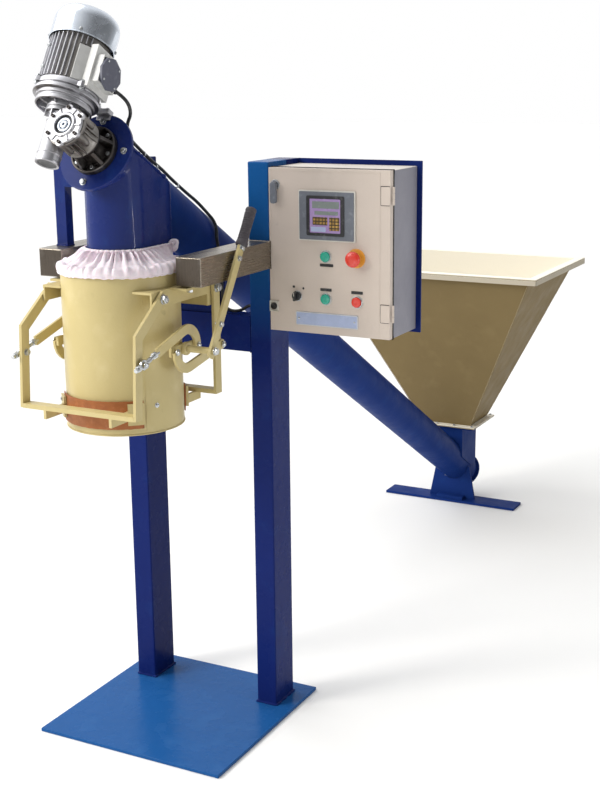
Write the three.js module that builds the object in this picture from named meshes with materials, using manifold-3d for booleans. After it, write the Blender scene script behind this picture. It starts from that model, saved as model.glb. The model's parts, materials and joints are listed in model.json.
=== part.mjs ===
// Screw-fed bag filling and weighing station with a lever clamp for open-mouth bags.
// Millimetres, +Z up. The origin is the middle of the underside of the base plate,
// +Y runs back along the screw conveyor and the operator stands at -Y.
import * as THREE from 'three';
import { mergeVertices } from 'three/addons/utils/BufferGeometryUtils.js';
import Module from 'manifold-3d';

const wasm = await Module();
wasm.setup();

// ---------------------------------------------------------------- driving dimensions
const GAP = 0.3;                       // air left between pieces that touch
const BASE = { width: 600, depth: 590, thick: 10 };
const POST = { x: 216.5, width: 65, front: 131, depth: 110, wall: 4, top: 1622 };
const BEAM = { size: 75, wall: 3, bottom: 1332, front: -237 };
const CROSS = { bottom: 1090, top: 1192, depth: 60 };
const SLOPE = THREE.MathUtils.degToRad(30.5);
const HEAD = new THREE.Vector3(0, -308, 1670);   // front of the head plate, on the screw axis
const TUBE = { outer: 69.85, inner: 65.5, length: 3078 };
const SCREW = { shaft: 12.5, flight: 62, pitch: 160, thick: 6 };
const SPOUT = { x: 0, y: -225, radius: 82.6, wall: 3, back: -105, bottom: 1345 };
const DRUM = { y: -225, radius: 155.6, wall: 3, bottom: 953, top: 1367 };
const PANEL = { left: 250, right: 612, front: 131, seam: 149.7, back: 310, bottom: 1160, top: 1608 };
const HOPPER = { x: 480, front: 1825, back: 2500, top: 1070, wall: 4, lip: 30 };
const INLET = { x: 135, front: 2120, back: 2380, top: 358, thick: 8 };
const ARM = { inner: 172, thick: 8, width: 30 };         // flat bars of the clamp yokes
const STRAP = { inner: 157.4, outer: 162, bottom: 972, top: 1046 };
const PIVOT = { front: [-300, 1308], rear: [-40, 1300] };  // yoke pivots as [y, z]
const CRANK = { at: [-212, 1166], reach: 51, inner: 175, thick: 8 };
const LINK = { inner: 186, thick: 8, width: 26, front: [-412, 1163], rear: [-40, 1146] };
const LEVER = { inner: 262, thick: 8, width: 25, length: 408, lean: 32.5 };
const WORM = { x: -50, y: -104 };      // motor axis in the gearbox, beside the screw axis
const MOTOR = { body: 80, root: 71, flange: 84, adapter: 68, cover: 84 };   // radii
const STACK = { shell: 55, ring: 84, barrel: 114, spigot: 232, hood: 233, top: 318 };   // up the motor axis

// ---------------------------------------------------------------- materials
const finish = (color, roughness, metalness = 0) =>
  new THREE.MeshStandardMaterial({ color, roughness, metalness });
const BLUE = finish(0x1c3c8c, 0.35);
const CREAM = finish(0xe6dfb4, 0.45);
const STAINLESS = finish(0xb9b4a8, 0.3, 0.9);
const ALUMINIUM = finish(0xc4c8cc, 0.45, 0.7);
const STEEL = finish(0x8c8f92, 0.4, 0.9);
const CAST = finish(0x5c5a58, 0.55, 0.6);
const GREY = finish(0xc9c6bb, 0.5);
const RUBBER = finish(0xb4512c, 0.7);
const CLOTH = finish(0xecd6da, 0.9);
const BLACK = finish(0x1d1d1f, 0.5);
const GRIP = finish(0x3a3b3d, 0.6);
const GREEN = finish(0x1f9d5c, 0.35);
const RED = finish(0xd8261c, 0.35);
const BRONZE = finish(0xa9793a, 0.4, 0.8);

// ---------------------------------------------------------------- solids
function solid(geometry) {
  const bare = geometry.clone();
  bare.deleteAttribute('normal');
  bare.deleteAttribute('uv');
  const merged = mergeVertices(bare, 1e-4);
  return new wasm.Manifold(new wasm.Mesh({
    numProp: 3,
    vertProperties: new Float32Array(merged.attributes.position.array),
    triVerts: new Uint32Array(merged.index.array),
  }));
}

function geometryOf(manifold) {
  const mesh = manifold.getMesh();
  const geometry = new THREE.BufferGeometry();
  geometry.setAttribute('position', new THREE.BufferAttribute(mesh.vertProperties, 3));
  geometry.setIndex(new THREE.BufferAttribute(mesh.triVerts, 1));
  geometry.computeVertexNormals();
  return geometry;
}

const join = (first, ...rest) => geometryOf(rest.reduce((sum, g) => sum.add(solid(g)), solid(first)));
const cut = (body, ...tools) => geometryOf(tools.reduce((sum, g) => sum.subtract(solid(g)), solid(body)));
const common = (first, second) => geometryOf(solid(first).intersect(solid(second)));

function box(x0, x1, y0, y1, z0, z1) {
  const geometry = new THREE.BoxGeometry(Math.abs(x1 - x0), y1 - y0, z1 - z0);
  return geometry.translate((x0 + x1) / 2, (y0 + y1) / 2, (z0 + z1) / 2);
}

// A round bar along X, Y or Z from a to b.
function rod(axis, a, b, radius, u, v, sides = 16) {
  const geometry = new THREE.CylinderGeometry(radius, radius, b - a, sides);
  if (axis === 'x') return geometry.rotateZ(-Math.PI / 2).translate((a + b) / 2, u, v);
  if (axis === 'y') return geometry.translate(u, (a + b) / 2, v);
  return geometry.rotateX(Math.PI / 2).translate(u, v, (a + b) / 2);
}

// A turned piece about Y; its [radius, y] profile runs round the section and closes on itself.
function turned(profile, sides = 24) {
  const points = [...profile, profile[0]].map(([r, y]) => new THREE.Vector2(r, y));
  const area = THREE.ShapeUtils.area(points);
  return new THREE.LatheGeometry(area > 0 ? points : points.reverse(), sides);
}

// A plate whose outline is given as [y, z] points, from x0 to x1.
function plateYZ(shape, x0, x1) {
  const options = { depth: x1 - x0, bevelEnabled: false, curveSegments: 8 };
  const geometry = new THREE.ExtrudeGeometry(shape, options);
  const frame = new THREE.Matrix4().set(0, 0, 1, x0, 1, 0, 0, 0, 0, 1, 0, 0, 0, 0, 0, 1);
  return geometry.applyMatrix4(frame);
}

// A prism whose outline is given as [x, y] points, from z0 to z1.
function prismXY(shape, z0, z1, segments = 16) {
  const options = { depth: z1 - z0, bevelEnabled: false, curveSegments: segments };
  return new THREE.ExtrudeGeometry(shape, options).translate(0, 0, z0);
}

// The outline of a flat bar of the given width along a bent line of [y, z] points.
function barOutline(points, width) {
  const line = points.map(([y, z]) => new THREE.Vector2(y, z));
  const side = (sign) => line.map((point, i) => {
    const before = i > 0 ? point.clone().sub(line[i - 1]).normalize() : null;
    const after = i < line.length - 1 ? line[i + 1].clone().sub(point).normalize() : null;
    const along = (before && after ? before.clone().add(after) : before || after).normalize();
    const normal = new THREE.Vector2(-along.y, along.x);
    const lean = before && after ? normal.dot(new THREE.Vector2(-before.y, before.x)) : 1;
    return point.clone().addScaledVector(normal, (sign * width) / 2 / lean);
  });
  return new THREE.Shape([...side(1), ...side(-1).reverse()]);
}

// ---------------------------------------------------------------- scene
const station = new THREE.Group();
const screwLine = new THREE.Group();   // +Y down the screw, +Z square to it, origin at HEAD
screwLine.position.copy(HEAD);
screwLine.rotation.x = -SLOPE;
screwLine.updateMatrix();
station.add(screwLine);

function place(name, geometry, material, parent = station) {
  const mesh = new THREE.Mesh(geometry, material);
  mesh.name = name;
  parent.add(mesh);
}

const onScrewLine = (geometry) => geometry.applyMatrix4(screwLine.matrix);
const SIDES = [['left', -1], ['right', 1]];

// ---------------------------------------------------------------- frame
function frame() {
  const { width, depth, thick } = BASE;
  place('base_plate', box(-width / 2, width / 2, -depth / 2, depth / 2, 0, thick), BLUE);

  const half = POST.width / 2;
  const rear = POST.front + POST.depth;
  for (const [side, sign] of SIDES) {
    const x = sign * POST.x;
    const shell = box(x - half, x + half, POST.front, rear, thick + GAP, POST.top);
    const hollow = box(x - half + POST.wall, x + half - POST.wall,
      POST.front + POST.wall, rear - POST.wall, 0, POST.top - POST.wall);
    place(`${side}_post`, cut(shell, hollow), BLUE);
  }

  const inside = POST.x - half - GAP;
  const crossBack = POST.front + CROSS.depth;
  place('cross_member', box(-inside, inside, POST.front, crossBack, CROSS.bottom, CROSS.top), BLUE);

  const cradleWidth = 75;
  const webThick = 8;
  const cradleFront = POST.front + 6;
  const cradleBack = POST.front + CROSS.depth - 6;
  const cradleTop = 1376;
  place('tube_saddle', cut(
    join(
      box(-cradleWidth, cradleWidth, cradleFront, cradleBack, CROSS.top + GAP, CROSS.top + 8),
      box(-cradleWidth, cradleWidth, cradleFront, cradleFront + webThick, CROSS.top + GAP, cradleTop),
      box(-cradleWidth, cradleWidth, cradleBack - webThick, cradleBack, CROSS.top + GAP, cradleTop),
    ),
    onScrewLine(rod('y', 0, 900, TUBE.outer + 2 * GAP, 0, 0, 40)),
  ), BLUE);
}

// Stainless housings of the weighing beams, each with a load cell that carries the clamp frame.
function weighingBeams() {
  const top = BEAM.bottom + BEAM.size;
  const half = BEAM.size / 2;
  const cell = { near: 185, far: 225, bottom: 1353, top: 1393, front: -230, back: -80 };
  const stud = { x: 200, y: -205, radius: 6 };
  for (const [side, sign] of SIDES) {
    const x = sign * POST.x;
    const inner = [x - half + BEAM.wall, x + half - BEAM.wall];
    place(`${side}_beam`, cut(
      box(x - half, x + half, BEAM.front, POST.front - GAP, BEAM.bottom, top),
      box(...inner, BEAM.front + 4, POST.front, BEAM.bottom + BEAM.wall, top - BEAM.wall),
      box(sign * stud.x - 12, sign * stud.x + 12, stud.y - 18, stud.y + 18, BEAM.bottom - 1, top - half),
    ), STAINLESS);
    const near = Math.min(sign * cell.near, sign * cell.far);
    const far = Math.max(sign * cell.near, sign * cell.far);
    const middle = (cell.front + cell.back) / 2;
    const level = (cell.bottom + cell.top) / 2;
    place(`${side}_load_cell`, cut(
      join(
        box(near, far, cell.front, cell.back, cell.bottom, cell.top),
        box(near, far, cell.back - 35, cell.back, BEAM.bottom + BEAM.wall + GAP, cell.bottom + 1),
        rod('z', 1328 + GAP, cell.bottom + 1, stud.radius, sign * stud.x, stud.y, 16),
      ),
      rod('x', near - 1, far + 1, 12, middle - 13, level, 16),
      rod('x', near - 1, far + 1, 12, middle + 13, level, 16),
    ), ALUMINIUM);
  }
}

// An upright on the left beam and an arm to the discharge housing steady the screw's head.
function headSupport() {
  const bottom = BEAM.bottom + BEAM.size + GAP;
  const post = { left: -239, right: -205, front: -175, back: -145, top: 1632 };
  const armEnd = -(SPOUT.radius + GAP);
  place('head_support', join(
    box(post.left, post.right, post.front, post.back, bottom, post.top),
    box(post.right - 1, armEnd, post.front, post.back, 1566, 1606),
  ), BLUE);
}

// ---------------------------------------------------------------- conveyor
function spoutShape(offset) {
  const r = SPOUT.radius + offset;
  const shape = new THREE.Shape();
  shape.moveTo(-r, SPOUT.back + offset);
  shape.lineTo(-r, SPOUT.y);
  shape.absarc(SPOUT.x, SPOUT.y, r, Math.PI, 2 * Math.PI, false);
  shape.lineTo(r, SPOUT.back + offset);
  return shape;
}

function conveyor() {
  const plate = { radius: 104, thick: 10 };
  const roof = 30;
  const bore = 18;
  place('head_plate', cut(
    rod('y', 0, plate.thick, plate.radius, 0, 0, 48),
    rod('y', -1, plate.thick + 1, bore, 0, 0),
  ), BLUE, screwLine);

  const front = plate.thick + GAP;
  const above = (offset) => onScrewLine(box(-200, 200, front - 100, 600, roof + offset, 600));
  const ahead = (start) => onScrewLine(box(-200, 200, -400, start, -600, 600));
  const pipe = onScrewLine(rod('y', front, 330, TUBE.outer + 4, 0, 0, 28));
  const outer = join(
    cut(prismXY(spoutShape(0), SPOUT.bottom, 1900), above(0), ahead(front)),
    cut(pipe, box(-200, 200, SPOUT.back, 300, 0, 2000)),
  );
  place('discharge_head', cut(outer,
    cut(prismXY(spoutShape(-SPOUT.wall), SPOUT.bottom - 1, 1900), above(-SPOUT.wall), ahead(front + 8)),
    onScrewLine(rod('y', front - 1, 400, TUBE.inner, 0, 0, 28)),
  ), BLUE);

  const inletHole = box(-55, 55, INLET.front + 25, INLET.back - 80, 0, INLET.top);
  const upperHalf = onScrewLine(box(-200, 200, 2000, 3078, 0, 300));
  place('conveyor_tube', cut(
    onScrewLine(rod('y', 150, TUBE.length, TUBE.outer, 0, 0, 40)),
    onScrewLine(rod('y', 100, TUBE.length + 1, TUBE.inner, 0, 0, 40)),
    box(-200, 200, -600, SPOUT.back + GAP, 0, 2500),
    common(inletHole, upperHalf),
  ), BLUE);

  const seal = { radius: 17, front: -9, back: plate.thick - 0.5 };
  place('shaft_seal', turned([
    [SCREW.shaft + GAP, seal.front], [seal.radius, seal.front],
    [seal.radius, seal.back], [SCREW.shaft + GAP, seal.back],
  ]), BLACK, screwLine);

  place('auger', auger(-140, TUBE.length + 25), STEEL, screwLine);

  const tail = TUBE.length + GAP;
  const tailPlate = [[16, tail], [80, tail], [80, tail + plate.thick], [16, tail + plate.thick]];
  place('tail_plate', turned(tailPlate, 40), BLUE, screwLine);
  place('tail_bearing', turned([
    [SCREW.shaft + GAP, tail + 10 + GAP], [38, tail + 10 + GAP], [38, tail + 20],
    [24, tail + 26], [24, tail + 36], [SCREW.shaft + GAP, tail + 36],
  ]), CAST, screwLine);
}

// The shaft with its helical flight; the flight's foot is sunk in the shaft.
function auger(start, end) {
  const perTurn = 8;
  const first = 190;
  const turns = Math.floor((end - 60 - first) / SCREW.pitch);
  const steps = turns * perTurn;
  const ring = [[SCREW.shaft - 4, -SCREW.thick / 2], [SCREW.flight, -SCREW.thick / 2],
    [SCREW.flight, SCREW.thick / 2], [SCREW.shaft - 4, SCREW.thick / 2]];
  const positions = [];
  const index = [];
  for (let i = 0; i <= steps; i++) {
    const angle = (2 * Math.PI * i) / perTurn;
    for (const [radius, offset] of ring) {
      const along = first + (SCREW.pitch * i) / perTurn + offset;
      positions.push(radius * Math.cos(angle), along, radius * Math.sin(angle));
    }
  }
  const quad = (a, b, c, d) => index.push(a, c, b, a, d, c);
  for (let i = 0; i < steps; i++) {
    for (let k = 0; k < 4; k++) {
      const a = 4 * i + k;
      const b = 4 * i + ((k + 1) % 4);
      quad(a, a + 4, b + 4, b);
    }
  }
  quad(3, 0, 1, 2);
  quad(4 * steps + 2, 4 * steps + 1, 4 * steps, 4 * steps + 3);
  const flight = new THREE.BufferGeometry();
  flight.setAttribute('position', new THREE.Float32BufferAttribute(positions, 3));
  flight.setIndex(index);
  return join(rod('y', start, end, SCREW.shaft, 0, 0, 10), flight);
}

function tailFoot() {
  const y = 2232;
  const sleeve = onScrewLine(rod('y', 2500, TUBE.length + 100, TUBE.outer + 2 * GAP, 0, 0, 40));
  const web = new THREE.Shape();
  web.moveTo(-105, 0);
  web.lineTo(105, 0);
  web.lineTo(76, 150);
  web.lineTo(-76, 150);
  const upright = new THREE.ExtrudeGeometry(web, { depth: 12, bevelEnabled: false });
  upright.rotateX(Math.PI / 2).translate(0, y + 6, 9);
  place('tail_foot', cut(join(
    box(-300, 300, y - 50, y + 50, 0, 10),
    upright,
    box(-60, 60, y - 40, y + 40, 9, 24),
  ), sleeve), BLUE);
}

function frustum(bottom, top) {
  const corners = ({ x, front, back, z }) => [[-x, front, z], [x, front, z], [x, back, z], [-x, back, z]];
  const geometry = new THREE.BufferGeometry();
  const points = [...corners(bottom), ...corners(top)].flat();
  geometry.setAttribute('position', new THREE.Float32BufferAttribute(points, 3));
  geometry.setIndex([0, 2, 1, 0, 3, 2, 4, 5, 6, 4, 6, 7,
    0, 1, 5, 0, 5, 4, 1, 2, 6, 1, 6, 5, 2, 3, 7, 2, 7, 6, 3, 0, 4, 3, 4, 7]);
  return geometry;
}

function feed() {
  const { lip, wall } = HOPPER;
  const rim = 8;
  const mouth = { x: HOPPER.x - lip, front: HOPPER.front + lip, back: HOPPER.back - lip, z: HOPPER.top };
  const throat = { x: INLET.x - lip, front: INLET.front + lip, back: INLET.back - lip, z: INLET.top };
  const inset = (r, by, z) => ({ x: r.x - by, front: r.front + by, back: r.back - by, z });
  place('hopper', cut(join(
    frustum(throat, mouth),
    box(-HOPPER.x, HOPPER.x, HOPPER.front, HOPPER.back, HOPPER.top - rim, HOPPER.top),
    box(-INLET.x, INLET.x, INLET.front, INLET.back, INLET.top, INLET.top + INLET.thick),
  ),
  frustum(inset(throat, wall, INLET.top - 0.5), inset(mouth, wall, HOPPER.top + 0.5)),
  ), CREAM);

  const neckTop = INLET.top - GAP;
  const neck = { x: 74, front: INLET.front + 24, back: INLET.back - 66 };
  place('inlet_neck', cut(join(
    box(-neck.x, neck.x, neck.front, neck.back, 150, neckTop),
    box(-INLET.x + 12, INLET.x - 12, INLET.front + 12, INLET.back - 12, neckTop - 8, neckTop),
  ),
  box(-neck.x + 4, neck.x - 4, neck.front + 4, neck.back - 4, 0, neckTop + 1),
  onScrewLine(rod('y', 2300, TUBE.length + 200, TUBE.outer + 2 * GAP, 0, 0, 40)),
  onScrewLine(box(-300, 300, 2300, TUBE.length + 400, -400, 0)),
  ), BLUE);
}

// ---------------------------------------------------------------- gearmotor
function gearmotor() {
  const flange = { radius: 64, bore: 18.6 };
  const rear = -62;
  const front = -134.3;
  place('output_flange', turned([
    [flange.bore, -GAP], [flange.radius, -GAP], [flange.radius, -11], [50, -14],
    [40, -40], [44, rear + GAP], [flange.bore, rear + GAP],
  ]), CAST, screwLine);

  const housing = { radius: 54, cavity: 42, wall: 14 };
  const wormShell = rod('z', -84, STACK.shell, 30, WORM.x, WORM.y, 28);
  const neckFlange = rod('z', STACK.shell - 10, STACK.shell, 41, WORM.x, WORM.y, 28);
  place('gearbox_housing', cut(
    join(rod('y', front, rear, housing.radius, 0, 0, 28), wormShell, neckFlange),
    rod('y', front - 1, rear - housing.wall, housing.cavity, 0, 0, 28),
    rod('y', front - 1, 0, flange.bore, 0, 0),
    rod('z', -70, 100, 15, WORM.x, WORM.y),
  ), ALUMINIUM, screwLine);

  const cover = { radius: 48, thick: 8, hub: 31, recess: 24, lugs: 46, lug: 11 };
  const lugs = [0, 1, 2, 3, 4, 5].map((i) => {
    const angle = (Math.PI / 3) * (i + 0.5);
    const [u, v] = [cover.lugs * Math.cos(angle), cover.lugs * Math.sin(angle)];
    return rod('y', front - cover.thick, front - GAP, cover.lug, u, v, 12);
  });
  place('gearbox_cover', cut(join(
    rod('y', front - cover.thick, front - GAP, cover.radius, 0, 0, 28),
    ...lugs,
    rod('y', front - 13, front - 7, cover.hub, 0, 0, 28),
  ),
  rod('y', front - 9, front + 5, cover.recess, 0, 0, 20),
  ), ALUMINIUM, screwLine);

  const wheel = { hub: 17, radius: 39.5, front: WORM.y - 10, back: WORM.y + 10 };
  place('worm_wheel', turned([
    [SCREW.shaft + GAP, -132], [wheel.hub, -132], [wheel.hub, wheel.front], [wheel.radius, wheel.front],
    [wheel.radius, wheel.back], [wheel.hub, wheel.back], [wheel.hub, -66], [SCREW.shaft + GAP, -66],
  ]), BRONZE, screwLine);

  const drive = new THREE.Group();     // +Z up the motor axis
  drive.position.set(WORM.x, WORM.y, 0);
  screwLine.add(drive);
  const upright = (profile, sides) => turned(profile, sides).rotateX(Math.PI / 2);

  place('worm_shaft', join(
    rod('z', -66, 48, 9.5, 0, 0, 16),
    rod('z', 47, 298, 8, 0, 0, 12),
    rod('z', 145, 222, 40, 0, 0, 16),
  ), STEEL, drive);
  place('motor_adapter', upright([
    [20, STACK.shell + GAP], [50, STACK.shell + GAP], [MOTOR.adapter, STACK.shell + 8],
    [MOTOR.adapter, STACK.ring - GAP], [30, STACK.ring - GAP], [30, STACK.ring - 13], [20, STACK.ring - 19],
  ]), ALUMINIUM, drive);
  place('motor_body', motorBody(), ALUMINIUM, drive);
  place('fan', join(
    upright([[8 + GAP, 270], [16, 270], [60, 280], [60, 283], [16, 286], [8 + GAP, 286]], 16),
    ...[0, 1, 2, 3, 4, 5].map((i) => box(20, 58, -1.5, 1.5, 260, 281).rotateZ((Math.PI / 3) * i)),
  ), BLACK, drive);
  const { hood, top } = STACK;
  place('fan_cover', upright([
    [MOTOR.cover - 2, hood], [MOTOR.cover, hood], [MOTOR.cover, top - 28], [MOTOR.cover - 5, top - 12],
    [MOTOR.cover - 18, top], [24, top], [24, top - 2], [MOTOR.cover - 19, top - 2],
    [MOTOR.cover - 7, top - 13.5], [MOTOR.cover - 2, top - 28.5],
  ], 32), ALUMINIUM, drive);

  const middle = 156;
  const rim = MOTOR.body + 28;
  place('terminal_box', cut(join(
    box(MOTOR.body - 12, MOTOR.body + 8, -44, 44, middle - 52, middle + 60),
    box(MOTOR.body + 7, rim, -36, 36, middle - 36, middle + 36),
  ),
  box(MOTOR.body + 2, rim + 1, -32, 32, middle - 32, middle + 32),
  rod('z', 70, 270, MOTOR.body + GAP, 0, 0, 48),
  rod('z', 70, STACK.barrel + GAP, MOTOR.flange + GAP, 0, 0, 48),
  ), ALUMINIUM, drive);
  place('terminal_box_lid', rod('x', rim + GAP, rim + 8, 42, 0, middle, 8), BLACK, drive);
}

// Flange ring, finned barrel and drive-end shield in one casting, open at the fan end.
function motorBody() {
  const fins = 20;
  const step = (2 * Math.PI) / fins;
  const outline = [];
  for (let i = 0; i < fins; i++) {
    const corners = [[MOTOR.root, -0.28], [MOTOR.body, -0.16], [MOTOR.body, 0.16], [MOTOR.root, 0.28]];
    for (const [radius, turn] of corners) {
      const angle = (i + turn) * step;
      outline.push(new THREE.Vector2(radius * Math.cos(angle), radius * Math.sin(angle)));
    }
  }
  return cut(join(
    rod('z', STACK.ring, STACK.barrel, MOTOR.flange, 0, 0, 36),
    prismXY(new THREE.Shape(outline), STACK.barrel - 1, STACK.spigot, 1),
    rod('z', STACK.spigot - 1, STACK.spigot + 8, MOTOR.body - 6, 0, 0, 32),
  ),
  rod('z', STACK.barrel + 9, STACK.spigot + 18, 62, 0, 0, 24),
  rod('z', STACK.ring - 10, STACK.barrel + 20, 8 + 2 * GAP, 0, 0, 12),
  );
}

// Motor cable: out of the terminal box, over the head plate, down the tube and into the post.
function motorCable() {
  const radius = 4.5;
  const lineY = (y) => HEAD.y + y * Math.cos(SLOPE);
  const lineZ = (y, z) => HEAD.z - y * Math.sin(SLOPE) + z * Math.cos(SLOPE);
  const along = (x, y, z) => new THREE.Vector3(x, lineY(y) + z * Math.sin(SLOPE), lineZ(y, z));
  const route = [
    along(50, WORM.y + 37, 138), along(51, -60, 138), along(64, -46, 133), along(78, -30, 122),
    along(80, -14, 109), along(70, 4, 102), along(61, 13, 96), along(53, 24, 88),
    along(45, 45, 77), along(38, 75, 73), along(34, 110, 73), along(31, 150, 74),
    along(30, 200, 74), along(29, 245, 72), along(28, 300, 70), along(28, 390, 70),
    along(35, 440, 68), along(52, 482, 56), along(64, 500, 45), along(73, 512, 25),
    along(78, 517, -5), new THREE.Vector3(84, 145, 1350),
    new THREE.Vector3(85, 145, 1290), new THREE.Vector3(86, 146, 1240), new THREE.Vector3(93, 150, 1209),
    new THREE.Vector3(108, 154, 1199), new THREE.Vector3(130, 158, 1199), new THREE.Vector3(148, 160, 1206),
    new THREE.Vector3(160, 160, 1215), new THREE.Vector3(172, 160, 1217),
    new THREE.Vector3(POST.x - POST.width / 2 - 2 * GAP, 160, 1217),
  ];
  const section = new THREE.Shape();
  section.absarc(0, 0, radius, 0, 2 * Math.PI, false);
  return new THREE.ExtrudeGeometry(section, {
    steps: 56, curveSegments: 2, extrudePath: new THREE.CatmullRomCurve3(route, false, 'centripetal'),
  });
}

// ---------------------------------------------------------------- bag spout and clamp
function bagSpout() {
  const [y, z] = CRANK.at;
  const wall = DRUM.radius - DRUM.wall;
  const shell = rod('z', DRUM.bottom, DRUM.top, DRUM.radius, 0, DRUM.y, 48);
  const hollow = rod('z', DRUM.bottom - 1, DRUM.top + 1, wall, 0, DRUM.y, 48);
  const bosses = rod('x', -171, 171, 17, y, z, 20);
  place('drum', cut(join(shell, bosses), hollow,
    rod('x', 159, 180, 9 + GAP, y, z), rod('x', -180, -159, 9 + GAP, y, z)), CREAM);

  const hem = DRUM.radius + 5;
  const neck = { bottom: DRUM.top + 13, top: DRUM.top + 59 };
  const crown = turned([
    [0, DRUM.top - 12], [hem, DRUM.top - 12], [hem + 1, DRUM.top - 3], [DRUM.radius + 2, DRUM.top + 9],
    [120, DRUM.top + 27], [98, neck.top - 8], [98, neck.top], [0, neck.top],
  ], 32).rotateX(Math.PI / 2).translate(0, DRUM.y, 0);
  place('dust_cover', cut(join(crown, prismXY(spoutShape(12), neck.bottom, neck.top)),
    rod('z', DRUM.top - 67, DRUM.top + 2, DRUM.radius + 2, 0, DRUM.y, 32),
    prismXY(spoutShape(2), DRUM.top - 67, neck.top + 88),
  ), CLOTH);
}

const pin = (sign, [y, z], radius, from, to) =>
  (sign > 0 ? rod('x', from, to, radius, y, z, 16) : rod('x', -to, -from, radius, y, z, 16));
const layer = (sign, shape, inner, thick) =>
  (sign > 0 ? plateYZ(shape, inner, inner + thick) : plateYZ(shape, -inner - thick, -inner));

function clampFrame() {
  const plate = { top: 1328, bottom: 1322, front: -335, ear: 215 };
  const web = { inner: 164, outer: 169, bottom: 1286, back: -20 };
  const tie = { front: -66, back: -36, bottom: 1254, top: 1284 };
  const pieces = [];
  for (const [, sign] of SIDES) {
    pieces.push(box(sign * 100, sign * web.outer, plate.front, -115, plate.bottom, plate.top));
    pieces.push(box(sign * 160, sign * plate.ear, -245, -120, plate.bottom, plate.top));
    pieces.push(box(sign * web.inner, sign * web.outer, plate.front, web.back, web.bottom, plate.top));
    const strut = [tie.front - 4, web.back, tie.bottom, web.bottom + 1];
    pieces.push(box(sign * web.inner, sign * web.outer, ...strut));
    pieces.push(pin(sign, PIVOT.front, 8, web.outer - 1, 190));
    pieces.push(pin(sign, PIVOT.rear, 8, web.outer - 1, 190));
  }
  pieces.push(box(-web.inner - 1, web.inner + 1, tie.front, tie.back, tie.bottom, tie.top));
  const [first, ...rest] = pieces;
  place('clamp_frame', cut(join(first, ...rest),
    rod('z', 1240, 1340, DRUM.radius + 3 * GAP, 0, DRUM.y, 44)), CREAM);
}

// A vertical band round part of the drum, between two radii and two angles from +X.
function band(inner, outer, a0, a1, z0, z1) {
  const shape = new THREE.Shape();
  shape.absarc(0, DRUM.y, outer, a0, a1, false);
  shape.absarc(0, DRUM.y, inner, a1, a0, true);
  return prismXY(shape, z0, z1, 12);
}

// A yoke: two flat arms, the bar that joins them, and two tabs that clamp the ends of its strap.
function yoke(name, line, linkPin, pivot, bar, tabs) {
  const arms = [];
  for (const [, sign] of SIDES) {
    const middle = tabs.facing + sign * tabs.angle;
    const [a0, a1] = [middle - tabs.spread, middle + tabs.spread];
    arms.push(layer(sign, barOutline(line, ARM.width), ARM.inner, ARM.thick));
    arms.push(pin(sign, linkPin, 6, ARM.inner + 1, LINK.inner + LINK.thick + 4));
    const tab = [tabs.front, tabs.back, tabs.bottom, tabs.top];
    arms.push(box(sign * tabs.inner, sign * (tabs.inner + 8), ...tab));
    arms.push(band(STRAP.outer, STRAP.outer + 7, a0, a1, STRAP.bottom + 12, STRAP.top - 6));
  }
  const reach = ARM.inner + 1;
  const crossbar = box(-reach, reach, bar.front, bar.back, bar.bottom, bar.top);
  const holes = SIDES.map(([, sign]) => pin(sign, pivot, 8 + GAP, ARM.inner - 1, 200));
  place(name, cut(join(crossbar, ...arms), ...holes,
    rod('z', 900, 1300, STRAP.outer + 2 * GAP, 0, DRUM.y, 48)), CREAM);
}

function strap(name, middle, halfAngle) {
  const { inner, outer, bottom, top } = STRAP;
  place(name, band(inner, outer, middle - halfAngle, middle + halfAngle, bottom, top), RUBBER);
}

function clamp() {
  const ahead = -Math.PI / 2;
  const behind = Math.PI / 2;
  const frontArm = [[-290, 1316], [-412, 1228], [-425, 1021]];
  const frontBar = { front: -440, back: -410, bottom: 1021, top: 1033 };
  const frontTabs = { inner: 98, front: -440, back: -330, bottom: 998, top: 1022 };
  const rearArm = [[-40, 1314], [-40, 1008]];
  const rearBar = { front: -55, back: -25, bottom: 1008, top: 1020 };
  const rearTabs = { inner: 106, front: -112, back: -30, bottom: 985, top: 1009 };
  yoke('front_yoke', frontArm, LINK.front, PIVOT.front, frontBar,
    { ...frontTabs, facing: ahead, angle: 0.77, spread: 0.13 });
  yoke('rear_yoke', rearArm, LINK.rear, PIVOT.rear, rearBar,
    { ...rearTabs, facing: behind, angle: 0.75, spread: 0.13 });
  strap('front_strap', ahead, 0.9);
  strap('rear_strap', behind, 0.88);
}

// A hooked link: straight from its yoke, then round the crank shaft to the far crank pin.
function hookedLink(from, over) {
  const [cy, cz] = CRANK.at;
  const radius = CRANK.reach;
  const dy = from[0] - cy;
  const dz = from[1] - cz;
  const distance = Math.hypot(dy, dz);
  const toPin = Math.atan2(dz, dy);
  const half = Math.acos(radius / distance);
  const start = toPin - over * half;
  const end = from[0] < cy ? 0 : -Math.PI;
  const line = [from];
  const arcSteps = 6;
  const sweep = end - start;
  const turn = Math.abs(sweep) > Math.PI ? sweep - Math.sign(sweep) * 2 * Math.PI : sweep;
  for (let i = 0; i <= arcSteps; i++) {
    const a = start + (turn * i) / arcSteps;
    line.push([cy + radius * Math.cos(a), cz + radius * Math.sin(a)]);
  }
  return barOutline(line, LINK.width);
}

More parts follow.
